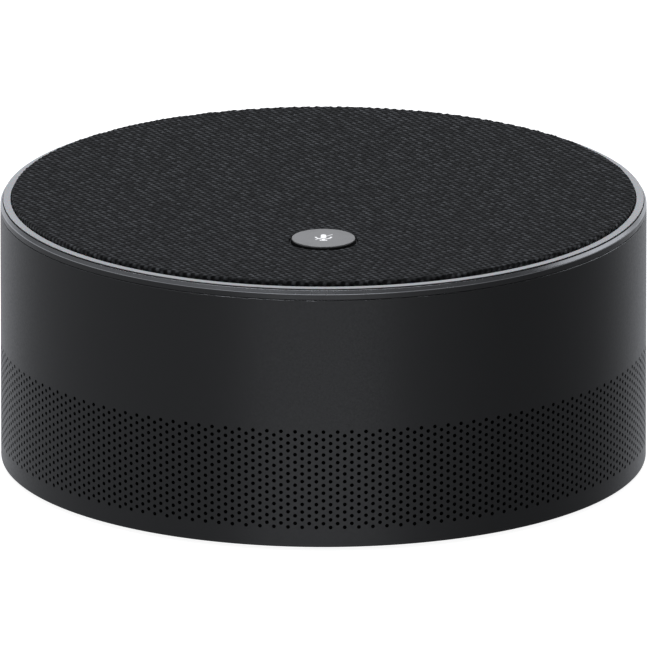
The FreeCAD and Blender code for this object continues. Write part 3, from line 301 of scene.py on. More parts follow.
def rounded(outline, radii, steps=3):
    """A closed outline with corners turned into arcs; radii maps a corner to its radius."""
    result = []
    count = len(outline)
    for i, corner in enumerate(outline):
        radius = radii.get(i, 0.0)
        here = Vector(corner)
        if not radius:
            result.append(tuple(here))
            continue
        back = (Vector(outline[i - 1]) - here).normalized()
        ahead = (Vector(outline[(i + 1) % count]) - here).normalized()
        half = back.angle(ahead) / 2
        centre = here + (back + ahead).normalized() * (radius / math.sin(half))
        start = here + back * (radius / math.tan(half)) - centre
        end = here + ahead * (radius / math.tan(half)) - centre
        first = math.atan2(start.y, start.x)
        sweep = (math.atan2(end.y, end.x) - first + math.pi) % math.tau - math.pi
        for k in range(steps + 1):
            angle = first + sweep * k / steps
            result.append((centre.x + radius * math.cos(angle),
                           centre.y + radius * math.sin(angle)))
    return result


def join(name, *parts):
    """One mesh object from several (vertices, faces) lists."""
    vertices, faces = [], []
    for points, corners in parts:
        start = len(vertices)
        vertices += points
        faces += [[start + i for i in face] for face in corners]
    return new_piece(name, vertices, faces)


def sew(piece, distance=0.005):
    """Merges points that lie together."""
    build = bmesh.new()
    build.from_mesh(piece.data)
    bmesh.ops.remove_doubles(build, verts=build.verts, dist=distance * MM)
    build.to_mesh(piece.data)
    build.free()
    return piece


def cut(piece, *tools, operation="DIFFERENCE"):
    """Takes the tools' shapes out of a piece, or adds them to it, and deletes them."""
    for tool in tools:
        modifier = piece.modifiers.new("cut", "BOOLEAN")
        modifier.operation, modifier.solver, modifier.object = operation, "MANIFOLD", tool
    made_plain(piece)
    for tool in tools:
        bpy.data.objects.remove(tool)
    return piece


def shade(piece, sharp=32.0):
    """Smooth shading that keeps flats flat beside small rounded edges."""
    for polygon in piece.data.polygons:
        polygon.use_smooth = True
    piece.data.set_sharp_from_angle(angle=math.radians(sharp))
    modifier = piece.modifiers.new("weighted", "WEIGHTED_NORMAL")
    modifier.keep_sharp, modifier.weight = True, 100
    return made_plain(piece)


def drum(radius, bottom, top, segments):
    """Points and faces of an upright cylinder about Z."""
    return lathe([(0.0, top), (radius, top), (radius, bottom), (0.0, bottom)], segments,
                 closed=False)


def stadium(width, height, steps=16):
    """A slot's outline of (across, up) points about its middle, anticlockwise."""
    radius, reach = height / 2, (width - height) / 2
    points = []
    for side, start in ((1, -90.0), (-1, 90.0)):
        for k in range(steps + 1):
            angle = math.radians(start + 180.0 * k / steps)
            points.append((side * reach + radius * math.cos(angle), radius * math.sin(angle)))
    return points


def prism(outline, place, depth):
    """Points and faces of a flat outline pushed along a depth; place maps (u, v, w)."""
    count = len(outline)
    vertices = [place(u, v, w) for w in (0.0, depth) for u, v in outline]
    faces = [list(range(count))[::-1], list(range(count, 2 * count))]
    faces += [[k, (k + 1) % count, count + (k + 1) % count, count + k] for k in range(count)]
    return vertices, faces


def face_out(piece):
    """Turns every face outwards."""
    build = bmesh.new()
    build.from_mesh(piece.data)
    bmesh.ops.recalc_face_normals(build, faces=build.faces)
    build.to_mesh(piece.data)
    build.free()
    return piece


def smooth_copy(node, name, sharp=25.0):
    """A copy of a CAD node's mesh with its points merged and its curves shaded smooth."""
    mesh = nodes[node].data.copy()
    mesh.name = name
    mesh.materials.clear()
    piece = bpy.data.objects.new(name, mesh)
    bpy.context.scene.collection.objects.link(piece)
    return shade(sew(piece, 0.0005), sharp)


# ---------------------------------------------------------------- finishes
class Finish:
    """A procedural material on the piece's own coordinates."""

    def __init__(self, name, colour, roughness, **shader):
        self.material = bpy.data.materials.new(name)
        self.material.use_nodes = True
        self.tree = self.material.node_tree
        self.shader = self.tree.nodes["Principled BSDF"]
        self.set("Base Color", (*colour, 1.0))
        self.set("Roughness", roughness)
        for key, value in shader.items():
            self.set(key.replace("_", " "), value)
        self.colour, self.roughness = colour, roughness
        self.place = add_node(self.tree, "ShaderNodeTexCoord").outputs["Object"]
        self.height = None

    def set(self, key, value):
        """Gives one of the shader's sockets a plain value."""
        self.shader.inputs[key].default_value = value

    def link(self, key, socket):
        """Links a pattern to one of the shader's sockets."""
        self.tree.links.new(socket, self.shader.inputs[key])

    def noise(self, size, detail=2.0, stretch=None, place=None):
        """A noise pattern with grains of a size in millimetres, from 0 to 1."""
        place = place or self.place
        if stretch:
            place = add_node(self.tree, "ShaderNodeMapping",
                             {"Vector": place, "Scale": stretch}).outputs[0]
        return add_node(self.tree, "ShaderNodeTexNoise", {
            "Vector": place, "Scale": 1.0 / (size * MM), "Detail": detail,
            "Roughness": 0.55}).outputs["Fac"]

    def spread(self, socket, low, high, start=0.3, end=0.7):
        """The pattern's middle range stretched between two values."""
        return add_node(self.tree, "ShaderNodeMapRange", {
            "Value": socket, "From Min": start, "From Max": end, "To Min": low,
            "To Max": high}).outputs["Result"]

    def shift_colour(self, pattern, dark, light):
        """The colour goes between shares of itself with a pattern."""
        pair = [tuple(min(1.0, c * share) for c in self.colour) + (1.0,)
                for share in (dark, light)]
        mix = add_node(self.tree, "ShaderNodeMix", {
            "Factor": pattern, 6: pair[0], 7: pair[1]}, data_type="RGBA")
        self.link("Base Color", mix.outputs[2])

    def shift_roughness(self, pattern, change):
        """The gloss wanders by a change either way with a pattern."""
        self.link("Roughness", self.spread(pattern, max(0.02, self.roughness - change),
                                           min(1.0, self.roughness + change)))

    def bump(self, pattern, height):
        """Raises the surface with a pattern, by a height in millimetres."""
        sockets = {"Height": pattern, "Strength": 1.0, "Distance": height * MM}
        if self.height:
            sockets["Normal"] = self.height
        self.height = add_node(self.tree, "ShaderNodeBump", sockets).outputs[0]
        self.link("Normal", self.height)


def plain_finish(name, colour, roughness, grain=0.35, depth=0.004, cloud=9.0, change=0.06,
                 shares=(0.9, 1.1), **shader):
    """Moulded, painted or rubber-like: clouded colour, uneven gloss and a fine grain."""
    finish = Finish(name, colour, roughness, **shader)
    finish.shift_colour(finish.spread(finish.noise(cloud, 3.0), 0.0, 1.0), *shares)
    finish.shift_roughness(finish.noise(cloud * 0.4, 3.0), change)
    finish.bump(finish.noise(grain, 2.0), depth)
    return finish.material


def metal_finish(name, colour, roughness, stretch=(1.0, 1.0, 14.0), depth=0.002, **shader):
    """Plated or drawn metal with fine streaks."""
    finish = Finish(name, colour, roughness, Metallic=1.0, **shader)
    streaks = finish.noise(0.8, 3.0, stretch)
    finish.shift_colour(finish.spread(finish.noise(3.0), 0.0, 1.0), 0.86, 1.08)
    finish.shift_roughness(streaks, 0.08)
    finish.bump(streaks, depth)
    return finish.material


def board_finish():
    """Solder mask with copper runs and small pads under it."""
    finish = Finish("board_green", (0.012, 0.085, 0.034), 0.3, Coat_Weight=0.3)
    tracks = add_node(finish.tree, "ShaderNodeTexBrick", {
        "Vector": finish.place, "Scale": 220.0, "Color1": (1, 1, 1, 1), "Color2": (0.6,) * 3 + (1,),
        "Mortar": (0, 0, 0, 1), "Mortar Size": 0.08}, offset=0.5)
    wander = finish.noise(2.6, 1.0)
    lines = finish.spread(wander, 0.0, 1.0, 0.48, 0.52)
    finish.shift_colour(maths(finish.tree, "MULTIPLY", lines, tracks.outputs["Fac"]), 0.75, 1.7)
    finish.shift_roughness(finish.noise(1.2), 0.06)
    finish.bump(lines, 0.02)
    return finish.material


def coil_finish():
    """Turns of enamelled wire laid side by side."""
    finish = Finish("coil_copper", (0.6, 0.24, 0.1), 0.3, Metallic=1.0)
    turns = add_node(finish.tree, "ShaderNodeTexWave", {
        "Vector": finish.place, "Scale": 1000.0 / 6.3, "Distortion": 0.3},
        wave_type="BANDS", bands_direction="Z").outputs["Fac"]
    finish.shift_colour(turns, 0.5, 1.1)
    finish.bump(turns, 0.06)
    finish.shift_roughness(finish.noise(1.0), 0.06)
    return finish.material


def mesh_cloth_finish(name, colour, pitch):
    """A thin open cloth: two crossing sets of fine threads."""
    finish = Finish(name, colour, 0.9, Specular_IOR_Level=0.2)
    threads = [add_node(finish.tree, "ShaderNodeTexWave", {
        "Vector": finish.place, "Scale": 0.314 / (pitch * MM), "Distortion": 0.4,
        "Detail Scale": 2.0}, wave_type="BANDS", bands_direction=axis).outputs["Fac"]
        for axis in ("X", "Z")]
    weave = maths(finish.tree, "MAXIMUM", *threads)
    finish.shift_colour(weave, 0.35, 1.15)
    finish.bump(weave, 0.05)
    return finish.material


def charcoal_cloth_finish(across, pitches):
    """Charcoal melange yarns in a plain weave, following the cloth's unrolled position, with
    painted shade in the valleys between crossings.
    """
    finish = Finish("charcoal_cloth", (0.0176, 0.0182, 0.0191), 0.92, Specular_IOR_Level=0.2,
                    Sheen_Weight=0.1, Sheen_Roughness=0.5)
    tree = finish.tree
    flat = add_node(tree, "ShaderNodeAttribute", attribute_name="flat").outputs["Vector"]
    counts = yarn_counts(tree, flat, across, [pitch * MM for pitch in pitches])

    def place(along_a, along_b, layer):
        return add_node(tree, "ShaderNodeCombineXYZ", {
            "X": maths(tree, "MULTIPLY", counts[0], along_a),
            "Y": maths(tree, "MULTIPLY", counts[1], along_b), "Z": layer}).outputs[0]

    fibres = finish.noise(1000.0, 3.0, place=place(5.0, 1.1, 0.0))
    crossed = finish.noise(1000.0, 3.0, place=place(1.1, 5.0, 7.3))
    crossing = yarn_crossing(tree, counts)
    up = finish.spread(crossing, 0.0, 1.0, -0.15, 0.15)
    streaks = add_node(tree, "ShaderNodeMix", {"Factor": up, 2: crossed, 3: fibres},
                       data_type="FLOAT").outputs[0]
    stitch = add_node(tree, "ShaderNodeCombineXYZ", {
        "X": maths(tree, "ROUND", counts[0]), "Y": maths(tree, "ROUND", counts[1])}).outputs[0]
    chance = add_node(tree, "ShaderNodeTexWhiteNoise", {"Vector": stitch}).outputs["Value"]
    clumps = finish.spread(finish.noise(1.2, 2.0), 0.0, 1.0, 0.3, 0.7)
    tone = maths(tree, "MULTIPLY_ADD", finish.spread(streaks, 0.0, 1.0, 0.3, 0.7), 0.55,
                 maths(tree, "MULTIPLY_ADD", maths(tree, "POWER", chance, 1.6), 1.5,
                       maths(tree, "MULTIPLY", clumps, 0.6)))
    # painted shade: the colour darkens from the crossings' crests down into the valleys between
    # yarns
    painted_valley_shade = finish.spread(crossing, 0.03, 1.0, -0.2, 0.7)
    tone_and_valley_shade = maths(tree, "MULTIPLY", maths(tree, "MULTIPLY", painted_valley_shade, tone), 0.25)
    finish.shift_colour(tone_and_valley_shade, 0.1, 10.0)
    finish.bump(crossing, 0.12)
    finish.bump(streaks, 0.1)
    return finish.material


def painted_shade_below(finish, top, start, end, cloud, dark):
    """Painted shade: the colour goes from dark to its own just below a level, with faint clouds in
    it.
    """
    height = add_node(finish.tree, "ShaderNodeSeparateXYZ", {"Vector": finish.place}).outputs["Z"]
    # painted shade: the colour falls to the dark share below the level
    painted_shade_mask = finish.spread(height, 0.0, 1.0, (top - start) * MM, (top - end) * MM)
    finish.shift_colour(maths(finish.tree, "MULTIPLY", painted_shade_mask, cloud), dark, 1.0)


def ring_finish():
    """A frosted light guide: pale top, with painted shade on its foot and outer side."""
    finish = Finish("ring_translucent_grey", (0.6, 0.6, 0.605), 0.42, Subsurface_Weight=0.1,
                    Subsurface_Scale=0.001)
    # painted shade on the ring's foot and outer side, below its top
    painted_shade_below(finish, RING_TOP, 0.1, 0.05, finish.spread(finish.noise(14.0, 3.0), 0.94, 1.0), 0.02)
    finish.shift_roughness(finish.noise(0.6), 0.05)
    finish.bump(finish.noise(0.25), 0.002)
    return finish.material


def button_finish():
    """Satin grey paint, with painted shade on the skirt below the top edge."""
    finish = Finish("button_grey", (0.365, 0.36, 0.355), 0.42)
    # painted shade on the cap's side below its top edge
    painted_shade_below(finish, BUTTON_TOP, 0.34, 0.28,
               finish.spread(finish.noise(5.0, 3.0), 0.9, 1.1), 0.03)
    finish.shift_roughness(finish.noise(2.0, 3.0), 0.04)
    finish.bump(finish.noise(0.18, 2.0), 0.001)
    return finish.material


def wall_finish():
    """Satin black moulding with a fine spark texture."""
    finish = Finish("housing_satin_black", (0.0062, 0.0063, 0.0066), 0.36)
    finish.shift_colour(finish.spread(finish.noise(16.0, 4.0), 0.0, 1.0), 0.9, 1.12)
    finish.shift_roughness(finish.noise(0.5, 3.0), 0.045)
    finish.bump(finish.noise(0.22, 2.0), 0.0016)
    return finish.material


ACROSS_YARN = [Vector((-math.sin(math.radians(a)), math.cos(math.radians(a)), 0.0))
               for a in YARN_ANGLES]

finishes = {
    "housing_satin_black": wall_finish(),
    "bezel_satin_black": plain_finish("bezel_satin_black", (0.009, 0.009, 0.0095), 0.3, 0.2,
                                      0.001, 12.0, 0.04, Specular_IOR_Level=0.6),
    "ring_translucent_grey": ring_finish(),
    "charcoal_cloth": charcoal_cloth_finish(ACROSS_YARN, YARN_PITCHES),
    "liner_cloth": mesh_cloth_finish("liner_cloth", (0.006, 0.006, 0.006), 0.3),
    "button_grey": button_finish(),
    "base_black": plain_finish("base_black", (0.012, 0.012, 0.0125), 0.55, 0.3, 0.008, 10.0),
    "inner_black_plastic": plain_finish("inner_black_plastic", (0.02, 0.02, 0.021), 0.5, 0.4,
                                        0.004, 14.0),
    "rubber_black": plain_finish("rubber_black", (0.014, 0.014, 0.0145), 0.78, 0.5, 0.012, 6.0,
                                 0.05, Specular_IOR_Level=0.35),
    "screw_steel": metal_finish("screw_steel", (0.3, 0.3, 0.31), 0.32, (1.0, 1.0, 5.0)),
    "basket_steel": plain_finish("basket_steel", (0.02, 0.02, 0.021), 0.35, 0.6, 0.003, 8.0,
                                 Coat_Weight=0.3),
    "motor_steel": metal_finish("motor_steel", (0.5, 0.5, 0.52), 0.3, (1.0, 1.0, 8.0)),
    "magnet_nickel": metal_finish("magnet_nickel", (0.62, 0.6, 0.56), 0.14, (1.0, 1.0, 2.0),
                                  0.0006),
    "coil_copper": coil_finish(),
    "former_film": plain_finish("former_film", (0.36, 0.17, 0.04), 0.25, 0.8, 0.002, 3.0,
                                Coat_Weight=0.2),
    "cone_pulp": plain_finish("cone_pulp", (0.018, 0.018, 0.018), 0.85, 0.45, 0.03, 2.0, 0.06,
                              (0.6, 1.4), Specular_IOR_Level=0.25),
    "foam_grey": plain_finish("foam_grey", (0.06, 0.06, 0.06), 0.95, 0.35, 0.08, 1.2, 0.04,
                              (0.5, 1.4), Specular_IOR_Level=0.2),
    "board_green": board_finish(),
    "chip_black": plain_finish("chip_black", (0.016, 0.016, 0.017), 0.55, 0.25, 0.006, 3.0),
    "can_tin": metal_finish("can_tin", (0.66, 0.66, 0.67), 0.24, (12.0, 1.0, 1.0)),
    "connector_white": plain_finish("connector_white", (0.74, 0.71, 0.64), 0.45, 0.6, 0.004, 4.0),
    "led_white": plain_finish("led_white", (0.84, 0.83, 0.74), 0.2, 0.5, 0.002, 2.0,
                              Coat_Weight=0.5),
    "spider_cloth": mesh_cloth_finish("spider_cloth", (0.42, 0.26, 0.08), 0.5),
    "panel_aluminium": metal_finish("panel_aluminium", (0.42, 0.42, 0.43), 0.34,
                                    (1.0, 12.0, 1.0)),
    "lead_insulation": plain_finish("lead_insulation", (0.3, 0.015, 0.012), 0.45, 0.7, 0.006, 3.0,
                                    Specular_IOR_Level=0.5),
}
# print white with a painted glow: the emission makes the symbol glow though it is no lamp
symbol_white = plain_finish("symbol_white", (0.9, 0.9, 0.9), 0.5, 0.2, 0.001, 2.0, 0.03,
                            (0.95, 1.0), Emission_Color=(1.0, 1.0, 1.0, 1.0),
                            Emission_Strength=0.4)
polished_edge = plain_finish("polished_edge", (0.5, 0.505, 0.515), 0.26, 0.3, 0.00005, 6.0, 0.02,
                             (0.94, 1.05), Metallic=1.0)

node_slots = {}
for node_name, cad_object in nodes.items():
    node_slots[node_name] = cad_object.data.materials[0].name.split(".")[0]


def finish_piece(piece, slot, body="root", stands_for=(), material=None):
    """The piece's material, the slot it comes from, its body and the nodes it replaces."""
    piece.data.materials.clear()
    piece.data.materials.append(material or finishes[slot])
    for polygon in piece.data.polygons:
        polygon.material_index = 0
    if stands_for:
        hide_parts(*stands_for)
    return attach(piece, body)


# ---------------------------------------------------------------- perforated housing
def hole_cell():
    """One cell of the wall about its hole: both faces and the hole's own wall."""
    half = math.pi / HOLE_COLUMNS
    up = HOLE_PITCH / 2
    border = [(half, 0.0), (half, up), (-half, up), (-half, 0.0), (-half, -up), (half, -up)]
    hole = [(HOLE_RADIUS / WALL_RADIUS * math.cos(k * math.tau / 8),
             HOLE_RADIUS * math.sin(k * math.tau / 8)) for k in range(8)]
    flat = border + hole
    vertices = [on_wall(r, a, z) for r in (WALL_RADIUS, WALL_BORE) for a, z in flat]

    def turn(point):
        return math.atan2(point[1], point[0] * WALL_RADIUS) % math.tau

    faces, i, j = [], 0, 0
    while i < 6 or j < 8:
        next_border = turn(border[i + 1]) if i < 5 else math.tau
        next_hole = turn(hole[j + 1]) if j < 7 else math.tau
        if j == 8 or (i < 6 and next_border <= next_hole):
            faces.append((i % 6, (i + 1) % 6, 6 + j % 8))
            i += 1
        else:
            faces.append((i % 6, 6 + (j + 1) % 8, 6 + j % 8))
            j += 1
    count = len(flat)
    faces += [tuple(count + v for v in reversed(face)) for face in faces]
    faces += [(6 + k, 6 + (k + 1) % 8, count + 6 + (k + 1) % 8, count + 6 + k)
              for k in range(8)]
    return vertices, faces


def half_cells():
    """Plain half cells that level the staggered columns at the band's two edges."""
    step = math.tau / HOLE_COLUMNS
    vertices, faces = [], []
    for column in range(HOLE_COLUMNS):
        low = BAND_BOTTOM if column % 2 == 0 else BAND_TOP - HOLE_PITCH / 2
        sides = ((column - 0.5) * step, (column + 0.5) * step)
        for radius, outward in ((WALL_RADIUS, True), (WALL_BORE, False)):
            start = len(vertices)
            vertices += [on_wall(radius, sides[0], low), on_wall(radius, sides[1], low),
                         on_wall(radius, sides[1], low + HOLE_PITCH / 2),
                         on_wall(radius, sides[0], low + HOLE_PITCH / 2)]
            order = (0, 1, 2, 3) if outward else (3, 2, 1, 0)
            faces.append([start + k for k in order])
    return vertices, faces


def polish(piece, radius, level, lean):
    """Gives the upward-leaning faces outside a radius and above a level a brighter edge."""
    piece.data.materials.append(polished_edge)
    for polygon in piece.data.polygons:
        middle = polygon.center / MM
        if (lean < polygon.normal.z < 0.92 and middle.z > level
                and math.hypot(middle.x, middle.y) > radius):
            polygon.material_index = 1


def make_housing():
    """The wall with its hole field, its inner ledges and the socket's recessed opening."""
    cells = give(new_piece("perforated_band", *hole_cell()), wall_hole_tree(),
                 columns=HOLE_COLUMNS, rows=HOLE_ROWS, row_pitch=HOLE_PITCH * MM,
                 stagger=HOLE_PITCH / 2 * MM, first_row=(BAND_BOTTOM + HOLE_PITCH / 2) * MM,
                 merge_distance=0.004 * MM, material=finishes["housing_satin_black"])
    made_plain(cells)
    band = ([tuple(v.co / MM) for v in cells.data.vertices],
            [tuple(p.vertices) for p in cells.data.polygons])
    bpy.data.objects.remove(cells)
    top_outline = rounded([
        (WALL_BORE, BAND_TOP), (WALL_BORE, UPPER_LEDGE[0]), (LEDGE_BORE, UPPER_LEDGE[0]),
        (LEDGE_BORE, UPPER_LEDGE[1]), (WALL_BORE, UPPER_LEDGE[1]), (WALL_BORE, WALL_TOP),
        (WALL_RADIUS, WALL_TOP), (WALL_RADIUS, BAND_TOP)], {6: 0.1}, 3)
    foot_outline = rounded([
        (WALL_RADIUS, BAND_BOTTOM), (WALL_RADIUS, WALL_BOTTOM), (WALL_BORE, WALL_BOTTOM),
        (WALL_BORE, LOWER_LEDGE[0]), (LEDGE_BORE, LOWER_LEDGE[0]), (LEDGE_BORE, LOWER_LEDGE[1]),
        (WALL_BORE, LOWER_LEDGE[1]), (WALL_BORE, BAND_BOTTOM)], {1: 0.3}, 3)
    housing = sew(join("perforated_housing", band, half_cells(),
                       lathe(top_outline, closed=False), lathe(foot_outline, closed=False)))

    def behind(start):
        """Places an outline on the back of the wall, from a distance outwards."""
        return lambda u, v, w: (-u, start + w, SOCKET_LEVEL + v)

    opening = face_out(join("socket_opening", prism(stadium(*SOCKET_OPENING), behind(60.0), 20.0)))
    recess = face_out(join("socket_recess", prism(stadium(*SOCKET_RECESS),
                                                  behind(WALL_RADIUS - RECESS_DEPTH), 10.0)))
    shade(cut(housing, opening, recess), 30.0)
    finish_piece(housing, "housing_satin_black", stands_for=["outer_housing"])
    polish(housing, WALL_RADIUS - 0.11, WALL_TOP - 0.2, 0.3)


# ---------------------------------------------------------------- bezel, ring and foot
def make_bezel():
    """The chamfered top frame, with its bosses, screw holes and light windows."""
    outline = rounded([
        (BEZEL_BORE, BEZEL_FLOOR), (BEZEL_SEAT, BEZEL_FLOOR), (BEZEL_SEAT, BEZEL_TOP),
        (BEZEL_LIP, BEZEL_TOP), (WALL_RADIUS, BEZEL_SHOULDER), (WALL_RADIUS, BEZEL_BOTTOM),
        (TENON_RADII[1], BEZEL_BOTTOM), (TENON_RADII[1], TENON_BOTTOM),
        (TENON_RADII[0], TENON_BOTTOM), (TENON_RADII[0], BEZEL_BOTTOM),
        (BEZEL_BORE, BEZEL_BOTTOM)],
        {3: 0.05, 4: 0.5, 5: 0.12, 0: 0.1, 10: 0.1}, 4)
    bezel = join("bezel", lathe(outline, 360))
    black = finishes["bezel_satin_black"]
    tree = circle_tree()
    holes = join("counterbores", lathe([
        (0.0, CUT_TOP), (SCREW_HEAD, CUT_TOP), (SCREW_HEAD, BEZEL_FLOOR - HEAD_DEPTH),
        (SCREW_HOLE, BEZEL_FLOOR - HEAD_DEPTH), (SCREW_HOLE, CUT_FOOT), (0.0, CUT_FOOT)],
        32, closed=False))
    windows = join("light_windows", drum(WINDOW_RADIUS, BEZEL_BOTTOM - 0.5, CUT_TOP, 16))
    bosses = join("bosses", drum(BOSS_RADIUS, BOSS_FOOT, BEZEL_BOTTOM + 0.2, 48))
    for piece, count, circle in ((holes, BOSS_COUNT, BOSS_CIRCLE),
                                 (windows, WINDOW_COUNT, WINDOW_CIRCLE),
                                 (bosses, BOSS_COUNT, BOSS_CIRCLE)):
        made_plain(give(piece, tree, count=count, radius=circle * MM, start=0.0, material=black))
    cut(bezel, bosses, operation="UNION")
    shade(cut(bezel, holes, windows), FINE_SHARP)
    finish_piece(bezel, "bezel_satin_black", stands_for=["top_bezel"])
    polish(bezel, BEZEL_SEAT, BEZEL_BOTTOM, 0.03)


def make_ring():
    """The light guide that shows as a pale ring."""
    outline = rounded([
        (RING_FOOT, BEZEL_FLOOR), (RING_FOOT, RING_FOOT_TOP), (RING_BORE, RING_FOOT_TOP),
        (RING_BORE, RING_TOP), (RING_OUTER, RING_TOP), (RING_OUTER, BEZEL_FLOOR)],
        {3: 0.06, 4: 0.08}, 3)
    ring = shade(join("light_guide", lathe(outline, 360)), FINE_SHARP)
    finish_piece(ring, "ring_translucent_grey", stands_for=["light_ring"])


def make_foot():
    """The rubber ring that the housing stands on."""
    low, high = span("foot_ring")
    outer = round(high.x, 2)
    outline = rounded([(FOOT_BORE, low.z), (FOOT_BORE, high.z), (outer, high.z), (outer, low.z)],
                      {0: 0.35, 3: 0.35}, 3)
    foot = shade(join("foot_pad", lathe(outline, 240)), FINE_SHARP)
    finish_piece(foot, "rubber_black", stands_for=["foot_ring"])


def make_pad():
    """The silicone ring under the button, as a smooth copy with its own mesh."""
    pad = smooth_copy("button_pad", "button_spring_pad")
    finish_piece(pad, node_slots["button_pad"], stands_for=["button_pad"])
    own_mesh(pad)


def make_base():
    """The base and the socket, as the frame has them, with smooth curves."""
    finish_piece(smooth_copy("base_plate", "base_moulding"), "base_black",
                 stands_for=["base_plate"])
    finish_piece(smooth_copy("usb_c_socket", "socket_shell"), "can_tin",
                 stands_for=["usb_c_socket"])


# ---------------------------------------------------------------- cloth
def cloth_points():
    """The cloth's flat top as points on its yarns, with its rim and its button hole."""
    a, b = (np.array(v[:2]) for v in ACROSS_YARN)
    to_plan = np.linalg.inv(np.array([a, b]))
    reach = int(CLOTH_RADIUS / min(YARN_PITCHES) * 2.6)
    rim, hole = CLOTH_RADIUS - CLOTH_ROLL, CLOTH_HOLE + 0.25
    i, j = np.meshgrid(np.arange(-reach, reach + 1), np.arange(-reach, reach + 1))
    counts = np.stack([i.ravel() * YARN_PITCHES[0] / 2, j.ravel() * YARN_PITCHES[1] / 2])
    plan = (to_plan @ counts).T
    from_middle = np.hypot(plan[:, 0], plan[:, 1])
    from_button = np.hypot(plan[:, 0], plan[:, 1] - BUTTON_Y)
    plan = plan[(from_middle < rim - 0.22) & (from_button > hole + 0.22)]
    return plan, rim, hole


def filled(points, loops, hole):
    """A flat region between closed loops, less the button's hole, as points and triangles."""
    edges, start = [], 0
    for count in loops:
        edges += [(start + k, start + (k + 1) % count) for k in range(count)]
        start += count
    points, _, triangles, *_ = delaunay_2d_cdt(points, edges, [], 0, 1e-6)
    faces = []
    for triangle in triangles:
        corners = [points[i] for i in triangle]
        centre = sum(corners, Vector((0, 0))) / 3
        area = (corners[1] - corners[0]).cross(corners[2] - corners[0])
        if area and (centre - Vector((0, BUTTON_Y))).length >= hole:
            faces.append(tuple(triangle) if area > 0 else tuple(reversed(triangle)))
    return points, faces


def make_cloth():
    """The stretched top cloth: woven face, rolled rim, button hole and flat underside."""
    plan, rim, hole = cloth_points()
    rim_count, hole_count = RIM_POINTS, HOLE_POINTS
    rim_loop = [(rim * math.cos(math.tau * k / rim_count), rim * math.sin(math.tau * k / rim_count))
                for k in range(rim_count)]
    hole_loop = [(hole * math.cos(math.tau * k / hole_count),
                  BUTTON_Y + hole * math.sin(math.tau * k / hole_count))
                 for k in range(hole_count)]
    flat_points = [Vector(p) for p in rim_loop + hole_loop] + [Vector(p) for p in plan]
    points, faces = filled(flat_points, (rim_count, hole_count), hole * 0.9995)
    surface = CLOTH_TOP - WEAVE_DEPTH
    vertices = [(p.x, p.y, surface) for p in points]
    unrolled = [(p.x, p.y) for p in points]
    relief = [1.0] * len(points)

    def wall_of_rows(start, count, centre, rows):
        """Rows of points below a loop; each row is (radius, height, unrolled radius, relief)."""
        above = list(range(start, start + count))
        for radius, height, spread, lift in rows:
            below = list(range(len(vertices), len(vertices) + count))
            for k in range(count):
                angle = math.tau * k / count
                along = (math.cos(angle), math.sin(angle))
                vertices.append((radius * along[0], centre + radius * along[1], height))
                unrolled.append((spread * along[0], centre + spread * along[1]))
                relief.append(lift)
            for k in range(count):
                n = (k + 1) % count
                quad = (above[k], below[k], below[n], above[n])
                faces.append(quad if start == 0 else tuple(reversed(quad)))
            above = below
        return above

    edge = CLOTH_RADIUS - CLOTH_ROLL
    roll = CLOTH_ROLL - WEAVE_DEPTH / 2
    rows = [(edge + roll * math.sin(math.radians(turn)),
             surface - CLOTH_ROLL * (1 - math.cos(math.radians(turn))),
             edge + CLOTH_ROLL * math.radians(turn), 1.0 - 0.4 * turn / 90)
            for turn in (22, 45, 68, 90)]
    quarter = edge + CLOTH_ROLL * math.pi / 2
    rows += [(edge + roll, surface - CLOTH_ROLL - drop, quarter + drop, 0.5)
             for drop in (0.3, 0.6)]
    rows += [(edge + roll - 0.05, CLOTH_BOTTOM, quarter + 1.0, 0.0),
             (CLOTH_INNER, CLOTH_BOTTOM, quarter + 1.6, 0.0),
             (CLOTH_INNER - 0.15, CLOTH_SEAT, quarter + 2.4, 0.0)]
    outer = wall_of_rows(0, rim_count, 0.0, rows)
    rows = [(CLOTH_HOLE + 0.08, surface - 0.06, hole - 0.2, 0.4),
            (CLOTH_HOLE, surface - 0.2, hole - 0.4, 0.1),
            (CLOTH_HOLE, CLOTH_SEAT, hole - 0.7, 0.0)]
    inner = wall_of_rows(rim_count, hole_count, BUTTON_Y, rows)

    ids = outer + inner
    _, under = filled([Vector(vertices[i][:2]) for i in ids], (rim_count, hole_count),
                      CLOTH_HOLE * 0.999)
    faces += [tuple(ids[i] for i in reversed(triangle)) for triangle in under]

    cloth = new_piece("woven_top", vertices, faces)
    mesh = cloth.data
    attribute = mesh.attributes.new("flat", "FLOAT_VECTOR", "POINT")
    attribute.data.foreach_set("vector", [c for x, y in unrolled for c in (x * MM, y * MM, 0.0)])
    attribute = mesh.attributes.new("face", "FLOAT", "POINT")
    attribute.data.foreach_set("value", relief)
    for polygon in mesh.polygons:
        polygon.use_smooth = True
    give(cloth, weave_tree(), across_a=ACROSS_YARN[0], across_b=ACROSS_YARN[1],
         pitch_a=YARN_PITCHES[0] * MM, pitch_b=YARN_PITCHES[1] * MM, depth=WEAVE_DEPTH * MM,
         material=finishes["charcoal_cloth"])
    made_plain(cloth)
    finish_piece(cloth, "charcoal_cloth", stands_for=["top_fabric"])


# ---------------------------------------------------------------- button
def at_button(piece):
    """Moves a piece's points from the middle to the button's axis."""
    for vertex in piece.data.vertices:
        vertex.co.y += BUTTON_Y * MM
    return piece


